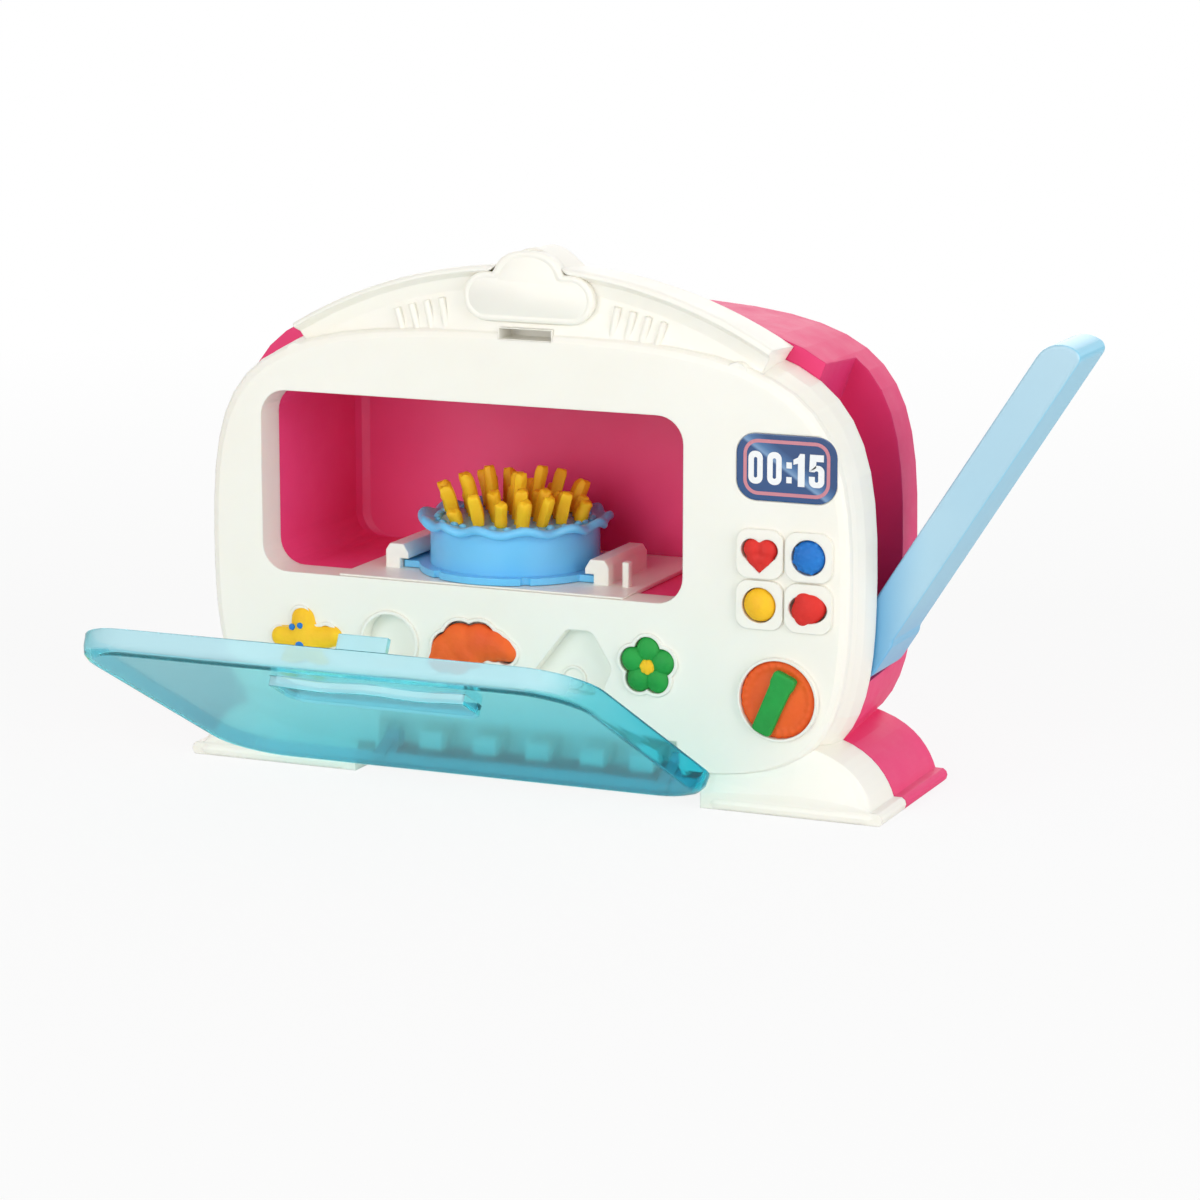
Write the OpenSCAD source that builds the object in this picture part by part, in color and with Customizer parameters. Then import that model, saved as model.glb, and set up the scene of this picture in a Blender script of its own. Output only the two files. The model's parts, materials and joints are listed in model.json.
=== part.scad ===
// Toy oven with a drop-down door, a side lever, shape moulds and a dough dish on a rail tray.
// Millimetres, +Z up. Front faces -Y. The part rests on its two long feet at Z = 0.
// The working frame puts X = 0 at the latch slot and Y = 0 on the front face; every sub-part is
// moved by one common shift so that the origin is at the bottom centre of the whole part.

/* [Shell] */
// Half width of the shell at its widest line
body_half = 149.5; // [140:0.5:160]
// Top of the front cover above the floor
cover_top = 202; // [198:0.5:208]
// Underside of the shell above the floor
body_bottom = 12; // [10:0.5:14]
// Height of the widest line of the shell
body_mid = 100; // [90:1:110]
// Depth of the front cover from the face to the seam
cover_depth = 30; // [28:0.5:32]
// Back face of the rear casing behind the front face
casing_back = 103; // [101.5:0.5:110]
// Fullness of the shell's left side against its right side
left_bulge = 1.04; // [1:0.005:1.05]
// How far the rear casing's top stands above the cover's top
casing_rise = 6.5; // [3:0.5:8]
// Side draft of the rear casing over its depth
casing_draft = 5.2; // [3:0.1:6]
// Wall of the moulded shells
wall = 2.4; // [2:0.1:2.8]
// Gap left at the seam between cover and casing
seam_gap = 0.3; // [0.1:0.1:0.6]
// Number of curve steps in a quarter of the shell outline
outline_steps = 14; // [10:1:20]

/* [Crown] */
// Outer radius of the arched crown
crown_r = 220; // [214:0.5:228]
// Top of the crown above the floor
crown_top = 228; // [226:0.5:230]
// Half angle of the crown's arc
crown_angle = 30.5; // [28:0.5:32]
// Depth of the hollow cove in the crown's front
cove_depth = 5; // [4:0.5:8]
// Number of flutes on each side of the badge
flute_count = 4; // [2:1:5]
// Radius of a flute
flute_r = 1.5; // [1.2:0.1:2.4]

/* [Badge] */
// Length of the badge
badge_w = 60; // [50:1:66]
// Height of the badge
badge_h = 21; // [18:0.5:23]
// Height of the badge's centre line
badge_z = 214; // [212:0.5:216]
// Thickness of the badge plate
badge_t = 6; // [4:0.5:6.5]
// Half width of the dome on the badge, with its blends
dome_half = 18.5; // [15:0.5:18.5]
// Top of the dome above the floor
dome_top = 235.4; // [232:0.2:238]

/* [Window] */
// Width of the window
window_w = 200; // [190:1:204]
// Height of the window
window_h = 80.7; // [76:0.1:84]
// Sideways position of the window's centre
window_x = -27.1; // [-30:0.1:-24]
// Height of the window's centre
window_z = 127.4; // [125:0.1:130]
// Corner radius of the window
window_r = 12; // [8:0.5:16]
// Depth of the cream reveal round the window
reveal = 17; // [14:0.5:19]
// Inside back wall of the cavity
cavity_back = 97; // [92:0.5:97.5]
// Wall of the cavity liner
liner_wall = 2; // [1.6:0.1:2.2]
// Width of the liner's front flange
liner_flange = 6; // [5:0.5:7]

/* [Door] */
// Width of the door
door_w = 230; // [220:1:236]
// Sideways position of the door's centre
door_x = -20; // [-22:0.5:-18]
// Lower edge of the closed door
door_z0 = 24; // [23:0.5:26]
// Upper edge of the closed door
door_z1 = 200.2; // [199:0.2:202]
// Depth of the door dish
door_depth = 10.4; // [9:0.1:11]
// Wall of the door dish
door_wall = 2.2; // [1.8:0.1:2.6]
// Corner radius of the door
door_r = 27; // [22:0.5:32]
// How far the door's lower edge slopes back
door_slope = 14; // [12:0.5:16]
// Gap between the closed door and the front face
door_gap = 0.6; // [0.4:0.1:1]
// Angle of the open door at rest
door_open = 62.5; // [55:0.5:66]
// Hinge axis behind the front face
hinge_y = 8.7; // [8:0.1:9.5]
// Hinge axis above the floor
hinge_z = 16; // [15.5:0.1:16.5]
// Radius of the hinge pins
door_pin_r = 2; // [1.6:0.1:2.4]
// Distance from the door's right edge to the outer side of its lug
lug_edge = 25; // [22:0.5:28]
// Width of a door lug
lug_w = 6; // [5:0.5:7]
// Half width of the latch tab
tab_half = 11; // [9:0.5:13]
// Width of the finger scoop
handle_w = 86; // [76:1:92]
// Depth of the finger scoop below the outer face
scoop_depth = 4.2; // [3:0.1:5]

/* [Lever] */
// Length of the lever from its pivot
lever_len = 165.5; // [160:0.5:180]
// Thickness of the lever bar
lever_t = 17.5; // [16:0.5:18]
// Step in the lever's outer face above its hub
lever_step = 1.2; // [0.5:0.1:2]
// Width of the lever bar along the depth
lever_w = 38.6; // [36:0.2:39.4]
// Angle of the lever from vertical at rest
lever_rest = 32.5; // [30:0.5:36]
// Sideways position of the lever's pivot
lever_x = 141; // [140:0.5:142]
// Height of the lever's pivot
lever_z = 63; // [61:0.5:65]
// Radius of the lever's pin
lever_pin_r = 2.5; // [2:0.1:3]
// Sideways position of the recess floor
recess_x = 117; // [116:0.5:118]
// Rear side of the recess
recess_y = 71; // [70.5:0.5:74]
// Radius from the pivot to the toe's crank pin
crank_r = 44; // [42:0.5:45]
// Radius of the crank pin
crank_pin_r = 3; // [2.5:0.1:3.4]
// Angle of the toe below level when the lever is at rest
toe_drop = 7.5; // [5:0.5:9]

/* [Lift] */
// Sideways position of the beam's pivot
beam_x = -90; // [-96:1:-84]
// Height of the beam's pivot
beam_z = 48; // [47:0.5:49]
// Height of the beam
beam_t = 7; // [6:0.5:8]
// Width of the beam along the depth
beam_w = 10; // [8:0.5:11]
// Play on each side of the crank pin in the beam's fork
fork_play = 1.5; // [1.4:0.1:1.8]
// Radius of the beam's pin
beam_pin_r = 2; // [1.6:0.1:2.4]
// Radius of the pusher rod
pusher_r = 6; // [5:0.5:6.5]
// Top of the pusher at rest
pusher_top = 86.5; // [85:0.1:87]
// Radial running clearance of pins and the pusher
run_gap = 0.06; // [0.02:0.01:0.1]

/* [Dish] */
// Sideways position of the dish's axis
dish_x = -24; // [-26:0.5:-22]
// Depth position of the dish's axis
dish_y = 43; // [41:0.5:45]
// Radius of the dish body
dish_r = 37.5; // [35:0.5:38]
// Radius of the dish flange
dish_flange_r = 42.5; // [41:0.5:43]
// Half width of the flange tongues under the rails
tongue_half = 45.8; // [45:0.1:45.9]
// Top face of the tray
tray_z = 88; // [87.6:0.1:88.4]
// Half distance between the rails
rail_half = 46.5; // [46.3:0.1:47.5]
// Top of the rails
rail_top = 99; // [97:0.5:101]
// Top of the die plate
die_top = 112.5; // [110:0.1:113]
// Mean radius of the ruffled rim
ruffle_r = 42.4; // [41:0.2:43.5]
// Number of waves in the ruffled rim
ruffle_count = 13; // [10:1:24]
// Height of the ruffled rim
ruffle_h = 4.6; // [3:0.2:6]
// Radius of a dough strand
strand_r = 2.8; // [1.8:0.1:2.9]
// Spacing of the strands
strand_pitch = 10.4; // [9.5:0.1:11]
// Length of a strand
strand_len = 25; // [18:0.5:30]
// How much a strand leans for each millimetre from the axis
strand_lean = 0.55; // [0.2:0.05:0.7]
// Shortening of a strand for each millimetre from the axis
strand_fall = 0.35; // [0.1:0.05:0.4]

/* [Moulds] */
// Depth of the moulds in the front face
mould_depth = 7; // [5:0.5:9]
// Gap round a dough piece in its mould
dough_gap = 0.3; // [0.2:0.1:0.6]
// How far a dough piece stands below the face
dough_low = 1; // [0.5:0.5:2]
// Height of the raised rim round each mould
mould_rim = 1.2; // [0.8:0.1:1.6]
// Radius of the round mould
round_mould_r = 12.6; // [11:0.2:13]
// Reach of the star mould's arms
star_reach = 16; // [14:0.5:17]
// Reach of the flower mould's petals
flower_reach = 13; // [11:0.5:13.5]
// Size of one raised tile
tile_w = 21; // [20:0.2:21.4]
// Distance between tile centres
tile_pitch = 21.8; // [21.6:0.1:23.2]
// Height of a tile above the face
tile_h = 1.8; // [1:0.1:2.4]
// Radius of the dial's rim
dial_r = 18.1; // [17:0.1:19]
// Width of the dial's rim
dial_rim = 1.2; // [1:0.1:2.6]
// Height of the dial's rim above the face
dial_h = 2.4; // [1.5:0.1:3]
// Angle of the bar on the dial
dial_turn = 64; // [0:1:90]

/* [Feet] */
// Half width over the feet
foot_half = 164; // [160:0.5:168]
// Inner end of a foot
foot_inner = 82; // [78:0.5:86]
// Height of the bead round a foot
bead_h = 5.5; // [5:0.5:7]
// How far the bead stands in front of the face
bead_out = 2; // [1:0.5:3]
// Plan radius of the bead's corners
bead_r = 8; // [5:0.5:10]
// Rear end of the feet
foot_back = 86; // [80:1:94]

/* [Fasteners] */
// Radius of the case screw shank
screw_r = 1.5; // [1.2:0.1:1.8]
// Radius of the case screw head
head_r = 3; // [2.6:0.1:3.2]
// Radius of the screw bosses
boss_r = 5; // [4.6:0.1:5.4]

/* [Hidden] */
$fn = 72;
seat = 0.05;
cut = 1;
casing_y = cover_depth + seam_gap;
window_x0 = window_x - window_w / 2;
window_x1 = window_x + window_w / 2;
window_z0 = window_z - window_h / 2;
window_z1 = window_z + window_h / 2;
liner_z0 = window_z0 - 1;
liner_z1 = window_z1 + 0.6;
slot_half = tab_half + 1.5;
slot_z0 = 195.8;
slot_z1 = 201;
door_y0 = -door_gap - door_depth;
lug_x = door_x + door_w / 2 - lug_edge;
bay_half = lug_x + 0.6;
block_half = 5.5;
block_at = [for (k = [-0.66, -0.29, 0.07, 0.44, 0.77]) k * lug_x];
crown_z = crown_top - crown_r;
bay_top = 27.6;
bay_back = hinge_y + 7.5;
hub_r = lever_t / 2;
lever_y = (casing_y + recess_y) / 2;
toe_y = dish_y + beam_w / 2 + 2;
toe_t = 6;
toe_half = 4.5;
fork_x = lever_x - crank_r;
beam_arm = fork_x - beam_x;
lever_to_beam = 0.9 * crank_r / beam_arm;
beam_rest = -toe_drop * lever_to_beam;
dish_floor = tray_z + 0.3;
flange_t = 3;
piston_z = 93.3;
piston_t = 3;
star_at = [-106.8, 55.2];
croissant_at = [-25, 61];
flower_at = [57.2, 59.5];
round_at = [-65.1, 59.3];
odd_at = [19, 58];
tile_at = [119, 101.3];
timer_at = [119.2, 148.9];
timer_size = [45.1, 28.8];
timer_r = 9;
dial_at = [116.8, 50.4];
case_screw_at = [[-120, 29], [120, 29], [-110, 184], [96, 187]];
liner_screw_out = liner_wall + head_r + 0.4;
liner_screw_at = [for (s = [-0.18, 0.18], z = [liner_z0 - liner_screw_out, liner_z1 + liner_screw_out])
    [window_x + s * window_w, z]];
tip_small = 4;
tip_large = 12;
lever_reach = (lever_t / 2 - lever_step - tip_small) * cos(lever_rest) + (lever_len - tip_small)
    * sin(lever_rest) + tip_small;
x_max = lever_x + lever_reach;
door_edge = [[0, 5], [0.7, 2.6], [2.2, 1], [5, 0.3]];
y_min = min([for (e = door_edge) hinge_y + (door_y0 + e[0] - hinge_y) * cos(door_open)
    - (door_z1 - e[1] - hinge_z) * sin(door_open)]);
shift = [-(x_max - foot_half) / 2, -(casing_back + y_min) / 2, 0];

// Helpers

// Extrude a flat outline (sideways, up) along the depth from y0 to y1
module along(y0, y1) {
    translate([0, y1, 0]) rotate([90, 0, 0]) linear_extrude(height = y1 - y0) children();
}

// Cylinder along the depth
module ycyl(at, r, y0, y1) {
    translate([at[0], y1, at[1]]) rotate([90, 0, 0]) cylinder(h = y1 - y0, r = r);
}

// Cylinder along the width, at (depth, height)
module xcyl(at, r, x0, x1) {
    translate([x0, at[0], at[1]]) rotate([0, 90, 0]) cylinder(h = x1 - x0, r = r);
}

// Box from one corner to the other
module box(a, b) {
    translate(a) cube(b - a);
}

// Points of a rounded rectangle
function round_rect(x0, x1, z0, z1, r, k = 8) = [
    for (c = [[x1 - r, z1 - r, 0], [x0 + r, z1 - r, 90], [x0 + r, z0 + r, 180], [x1 - r, z0 + r, 270]],
        i = [0 : k]) [c[0] + r * cos(c[2] + 90 * i / k), c[1] + r * sin(c[2] + 90 * i / k)]];

// Points of a rounded rectangle about a centre
function round_rect_at(at, w, h, r, k = 8) =
    round_rect(at[0] - w / 2, at[0] + w / 2, at[1] - h / 2, at[1] + h / 2, r, k);

function bezier(a, b, c, d, t) =
    a * pow(1 - t, 3) + 3 * b * t * pow(1 - t, 2) + 3 * c * t * t * (1 - t) + d * pow(t, 3);

// Outline of the shell: two curves above and two below, the left pair fuller by left_bulge
function shell_outline(half, top, bottom, mid, soft, n) = let(
    left = half * left_bulge,
    up = [for (i = [0 : n]) bezier([half, mid], [half, top - soft], [half - soft, top], [0, top],
        i / n)],
    up_left = [for (i = [0 : n]) bezier([-left, mid], [-left, top - 17], [17 - left, top], [0, top],
        i / n)],
    low = [for (i = [0 : n]) bezier([half, mid], [half, bottom + 28], [half - 5.5, bottom],
        [half - 65.5, bottom], i / n)])
    concat(up, [for (i = [n - 1 : -1 : 0]) up_left[i]],
        [for (i = [1 : n]) [-low[i][0] * left_bulge, low[i][1]]], [for (i = [n : -1 : 1]) low[i]]);

// Shell outline of the cover, moved inwards by an inset, at a depth
function cover_ring(y, inset) = flat_ring(y, shell_outline(body_half - inset, cover_top - inset,
    body_bottom + min(inset, 3), body_mid, 20, outline_steps));

// Shell outline of the casing at a depth
function casing_ring(y, inset) = let(back = (y - casing_y) / (casing_back - casing_y))
    flat_ring(y, shell_outline(body_half - casing_draft * back - inset,
        cover_top + casing_rise - 3 * back - inset, body_bottom + 1.6 * back + inset,
        body_mid + 8, 16.5, outline_steps));

function flat_ring(y, pts) = [for (p = pts) [p[0], y, p[1]]];

// Skin through a row of outlines that all have the same number of points
module loft(rings) {
    n = len(rings[0]);
    m = len(rings);
    polyhedron(points = [for (r = rings) each r],
        faces = concat([[for (i = [n - 1 : -1 : 0]) i]],
            [for (k = [0 : m - 2], i = [0 : n - 1]) let(j = (i + 1) % n) each [
                [k * n + i, k * n + j, (k + 1) * n + j], [k * n + i, (k + 1) * n + j, (k + 1)
                    * n + i]]],
            [[for (i = [0 : n - 1]) (m - 1) * n + i]]));
}

// Flat shapes of the moulds, each about its own centre; "low" makes them smaller all round

module star_shape(low) {
    tip = 3.8;
    root = 6.6;
    circle(r = star_reach * 0.54 - low);
    for (a = [0 : 72 : 288]) rotate(a + 98) {
        polygon([[0, low - root], [star_reach - tip, low - tip + 0.2],
            [star_reach - tip, tip - 0.2 - low], [0, root - low]]);
        translate([star_reach - tip, 0]) circle(r = tip - low, $fn = 32);
    }
}

module flower_shape(low) {
    circle(r = flower_reach * 0.55 - low);
    for (a = [0 : 72 : 288]) rotate(a + 18) translate([flower_reach * 0.53, 0])
        circle(r = flower_reach * 0.46 - low);
}

// Crescent of overlapping rolls
module croissant_shape(low) {
    for (c = [[-15, -7.5, 5.4], [-12, -1.5, 7.2], [-5.5, 2.2, 8.8], [3.4, 3, 8.4], [10.6, 0.6, 6.6],
        [15.8, -1.6, 5]]) translate([c[0], c[1]]) circle(r = c[2] - low, $fn = 48);
}

// Empty mould, a slanted loaf
module odd_shape() {
    hull() {
        for (c = [[-12.5, -9.5, 4.5], [2.5, 9.8, 4.5], [9.5, 9.8, 4.5], [16, -1.6, 5], [12, -11, 5]])
            translate([c[0], c[1]]) circle(r = c[2], $fn = 32);
    }
}

module heart_shape(low) {
    for (s = [-1, 1]) {
        translate([s * 3.7, 1.8]) circle(r = 4.6 - low, $fn = 40);
        polygon([[s * (7.4 - low), -1.2], [0, -8.2 + low], [-s * 1, 0], [0, 3]]);
    }
}

// Rounded side of the bead: inset against height
bead_curve = [[1.4, 0], [0.5, 0.9], [0, 2.7], [0.5, 4.3], [2, bead_h]];

// Flare of a foot above its bead, from the bead to the shell; "low" shrinks it
function foot_flare(low) = [for (i = [0 : 8]) bezier([-5.6, bead_h], [-8, 13], [-14, 23.5],
    [-30, 28.5], i / 8)
    + [foot_half - 0.9 * low, -0.5 * low]];

// Foot outline seen from the front; "grow" raises it from the bead to its full height
function foot_outline(grow) = concat([[foot_inner, 0]], [for (b = bead_curve) [foot_half - b[0], b[1]]],
    [for (p = concat(foot_flare(0), [[foot_half - 40, bead_h + 26], [foot_inner + 6, body_bottom + 6],
        [foot_inner, body_bottom + 1]])) [p[0], bead_h + grow * (p[1] - bead_h)]]);

// Solid of a foot's front part: the bead goes round it and the flare rises behind the bead
module foot_front() {
    loft([flat_ring(-1, foot_outline(0.15)), flat_ring(0.6, foot_outline(0.5)),
        flat_ring(2.2, foot_outline(0.85)),
        flat_ring(3.8, foot_outline(1)), flat_ring(cover_depth, foot_outline(1))]);
    loft([for (i = [4 : -1 : 0]) let(b = bead_curve[i], x0 = foot_inner + b[0], x1 = foot_half - b[0],
        y0 = b[0] - bead_out, r = bead_r) concat(
        [for (k = [0 : 6]) [x0 + r - r * cos(15 * k), y0 + r - r * sin(15 * k), b[1]]],
        [for (k = [0 : 6]) [x1 - r + r * sin(15 * k), y0 + r - r * cos(15 * k), b[1]]],
        [[x1, cover_depth, b[1]], [x0, cover_depth, b[1]]])]);
}

// Hollow of a foot, open upwards into the shell
module foot_hollow(y0, y1) {
    along(y0, y1) polygon(concat([[foot_inner + wall, wall], [foot_half - wall - 1, wall],
        [foot_half - wall - 3.2, bead_h - 1]], foot_flare(wall),
        [[foot_half - 44, bead_h + 24], [foot_inner + wall + 5, body_bottom + 5]]));
}

// Front of the crown's section: radius from the arc centre against depth
crown_front = [[crown_r - 34, 0.6], [crown_r - 26, 0.6 + cove_depth * 0.35],
    [crown_r - 17, 0.6 + cove_depth * 0.85],
    [crown_r - 10, 0.6 + cove_depth], [crown_r - 4.5, 0.6 + cove_depth * 0.8], [crown_r - 2.2, 0.8],
    [crown_r - 1.2, 0.9], [crown_r - 0.3, 1.8], [crown_r, 4], [crown_r - 2, cover_depth]];
// Back of the crown's section, a wall behind the front
crown_back = [[crown_r - 4.4, cover_depth], [crown_r - 2.6, cove_depth + 4],
    [crown_r - 10, cove_depth + wall + 1.2],
    [crown_r - 18, 0.6 + cove_depth * 0.85 + wall], [crown_r - 34, 0.6 + cove_depth * 0.85 + wall]];

// Arched crown with its hollow back and a closed wall at each end
module crown() {
    ends = [for (p = crown_front) if (p[0] > crown_r - 20) [p[0] - 0.2, min(p[1] + 0.2, cover_depth - 0.2)]];
    translate([0, 0, crown_z]) rotate([-90, 0, 0]) {
        rotate([0, 0, -90 - crown_angle]) rotate_extrude(angle = 2 * crown_angle, $fn = 180)
            polygon(concat(crown_front, crown_back));
        for (a = [0.05 - crown_angle, crown_angle - 0.65]) rotate([0, 0, a - 90])
            rotate_extrude(angle = 0.6, $fn = 180)
            polygon(concat(ends, [[crown_r - 17.2, cover_depth - 0.2]]));
    }
}

// Points of the badge: a bar with round ends and a dome blended into its top; "low" shrinks it
function badge_outline(low) = let(r = badge_h / 2 - low, x = badge_w / 2 - badge_h / 2 - 1) concat(
    [for (i = [0 : 10]) [1 - x + r * cos(90 + 18 * i), badge_z + r * sin(90 + 18 * i)]],
    [for (i = [0 : 10]) [1 + x + r * cos(270 + 18 * i), badge_z + r * sin(270 + 18 * i)]],
    dome_curve(low, dome_half));

// Top line of the dome from right to left over a half width
function dome_curve(low, half) = [for (i = [15 : -1 : -15]) let(x = half * i / 16)
    [1 + x, badge_z + badge_h / 2 - low
        + (dome_top - badge_z - badge_h / 2) * pow((1 + cos(180 * x / dome_half)) / 2, 0.6)]];

// Sub-parts

module front_cover() color("Linen") translate(shift) {
    difference() {
        union() {
            difference() {
                union() {
                    loft([cover_ring(0, 6), cover_ring(1, 3.6), cover_ring(2.6, 2.6),
                        cover_ring(5, 2.4),
                        cover_ring(7, 3.4), cover_ring(9, 3.4), cover_ring(12, 2.4), cover_ring(18, 1),
                        cover_ring(cover_depth, 0)]);
                    for (s = [0, 1]) mirror([s, 0, 0]) foot_front();
                }
                loft([cover_ring(wall, 6 + wall), cover_ring(12, 3 + wall),
                    cover_ring(cover_depth - 4, 1 + wall),
                    cover_ring(cover_depth + cut, 1 + wall)]);
                for (s = [0, 1]) mirror([s, 0, 0]) foot_hollow(wall + 3, cover_depth + cut);
            }
            cover_crown();
            cover_inside();
            cover_rims();
        }
        cover_cuts();
    }
}

// Crown, its flutes, the pad behind the badge and the dome's ridge
module cover_crown() {
    crown();
    along(badge_t + 1, badge_t + 6) polygon(badge_outline(0.6));
    difference() {
        along(badge_t + 5, cover_depth - 2) polygon(concat(dome_curve(1.2, dome_half - 2),
            [[3 - dome_half, badge_z], [dome_half - 1, badge_z]]));
        along(badge_t + 6, cover_depth) polygon(concat(dome_curve(1.2 + wall, dome_half - 2 - wall),
            [[3 - dome_half + wall, badge_z - cut], [dome_half - 1 - wall, badge_z - cut]]));
    }
    for (s = [-1, 1], i = [0 : flute_count - 1])
        translate([0, cove_depth * 0.5 + 1.6, crown_z]) rotate([0, s * (11.4 + 2 * i),
            0]) translate([0, 0, crown_r - 25])
            cylinder(h = 13, r = flute_r, $fn = 24);
}

// Hidden walls behind the face
module cover_inside() {
    along(cut, reveal) polygon(round_rect(window_x0 - wall, window_x1 + wall, window_z0 - wall,
        window_z1 + wall, window_r + wall));
    for (p = [star_at, flower_at]) ycyl(p, star_reach + wall, cut, mould_depth + wall);
    ycyl(round_at, round_mould_r + wall, cut, mould_depth + wall);
    along(cut, mould_depth + wall) {
        polygon(round_rect_at(croissant_at - [0, 1], 45, 32, 6));
        polygon(round_rect_at(odd_at + [2, -1], 43, 36, 6));
    }
    along(cut, mould_depth + 0.6) polygon(round_rect_at(tile_at, 44, 44, 4));
    ycyl(dial_at, dial_r + 0.6, cut, mould_depth);
    // Hinge bay: roof, back and end walls
    box([-bay_half - wall, cut, body_bottom], [bay_half + wall, bay_back + wall, bay_top + wall]);
    // Web that closes the front of the lever recess, with the boss of the lever's pin
    intersection() {
        along(cover_depth - 2.6, cover_depth) recess_shape(wall + 1);
        loft([cover_ring(cover_depth - 3, 0.8), cover_ring(cover_depth, 0.2)]);
    }
    ycyl([lever_x, lever_z], lever_pin_r + 3, cover_depth - 6, cover_depth);
    // Screw bosses
    for (p = case_screw_at) ycyl(p, boss_r, cut, cover_depth);
    for (p = liner_screw_at) ycyl(p, 3.4, cut, reveal);
}

// Raised rims on the face
module cover_rims() {
    ycyl(round_at, round_mould_r + 1.6, -mould_rim, 2);
    along(-mould_rim, 2) {
        translate(star_at) star_shape(-1.5);
        translate(flower_at) flower_shape(-1.5);
        translate(croissant_at) croissant_shape(-1.5);
    }
    ycyl(dial_at, dial_r, -dial_h, 2);
    for (i = [-0.5, 0.5], j = [-0.5, 0.5])
        along(-tile_h, 2) polygon(round_rect_at(tile_at + tile_pitch * [i, j], tile_w, tile_w, 5.5, 6));
    // Blocks in the hinge bay
    hinge_blocks();
}

module hinge_blocks() {
    for (x = block_at) box([x - block_half, 1.2, 14], [x + block_half, bay_back + cut, 22]);
}

module cover_cuts() {
    // Window, slightly wider at the front
    along(-cut, reveal + cut) polygon(round_rect(window_x0, window_x1, window_z0, window_z1, window_r));
    // Latch slot
    box([-slot_half, -cut, slot_z0], [slot_half, 14, slot_z1]);
    // Moulds
    ycyl(round_at, round_mould_r, -4, mould_depth);
    along(-4, mould_depth) {
        translate(star_at) star_shape(0);
        translate(flower_at) flower_shape(0);
        translate(croissant_at) croissant_shape(0);
    }
    // Empty mould with a low ring on its floor
    difference() {
        along(-4, mould_depth) translate(odd_at) odd_shape();
        ycyl(odd_at + [1, -9], 6, mould_depth - 0.8, mould_depth + cut);
    }
    ycyl(odd_at + [1, -9], 4.8, mould_depth - cut, mould_depth);
    tile_moulds(0, -4, mould_depth - 2);
    ycyl(dial_at, dial_r - dial_rim, -4, 3);
    // Timer recess
    along(-cut, 0.8) polygon(round_rect_at(timer_at, timer_size[0], timer_size[1], timer_r));
    // Hinge bay, open to the front and below
    difference() {
        box([-bay_half, -4, body_bottom - 4], [bay_half, bay_back, bay_top]);
        hinge_blocks();
    }
    xcyl([hinge_y, hinge_z], door_pin_r + 0.01, -bay_half - 4, bay_half + 4);
    // Bore for the lever's pin
    ycyl([lever_x, lever_z], lever_pin_r + 0.01, cover_depth - 4, cover_depth + cut);
    // Pocket that seats the badge
    along(-cut, badge_t + 1) polygon(badge_outline(-0.25));
    // Screw holes
    for (p = case_screw_at) ycyl(p, screw_r + 0.05, 14, cover_depth + cut);
    for (p = liner_screw_at) ycyl(p, screw_r + 0.05, 8, reveal + cut);
}

// Heart, two round moulds and an oval in the tiles
module tile_moulds(low, y0, y1) {
    h = tile_pitch / 2;
    along(y0, y1) {
        translate(tile_at + [-h, h]) heart_shape(low);
        translate(tile_at + [h, -h]) polygon([for (a = [0 : 8 : 352]) [(8.6 - low) * cos(a),
            (6.2 - low) * sin(a)]]);
    }
    ycyl(tile_at + [h, h], 7.6 - low, y0, y1);
    ycyl(tile_at + [-h, -h], 7.6 - low, y0, y1);
}

module badge_plate() color("Linen") translate(shift) {
    along(1, badge_t + 0.95) polygon(badge_outline(0));
    along(0.2, badge_t) polygon(badge_outline(3.6));
}

// Outline of the lever recess seen from the front; "grow" adds the wall
module recess_shape(grow) {
    polygon([[body_half + 20, lever_z - hub_r - 0.35 - grow],
        [recess_x - grow, lever_z - hub_r - 0.35 - grow],
        [recess_x - grow, 168], [124.4 - grow, 187.5], [140, 220], [body_half + 20, 220]]);
}

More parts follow.
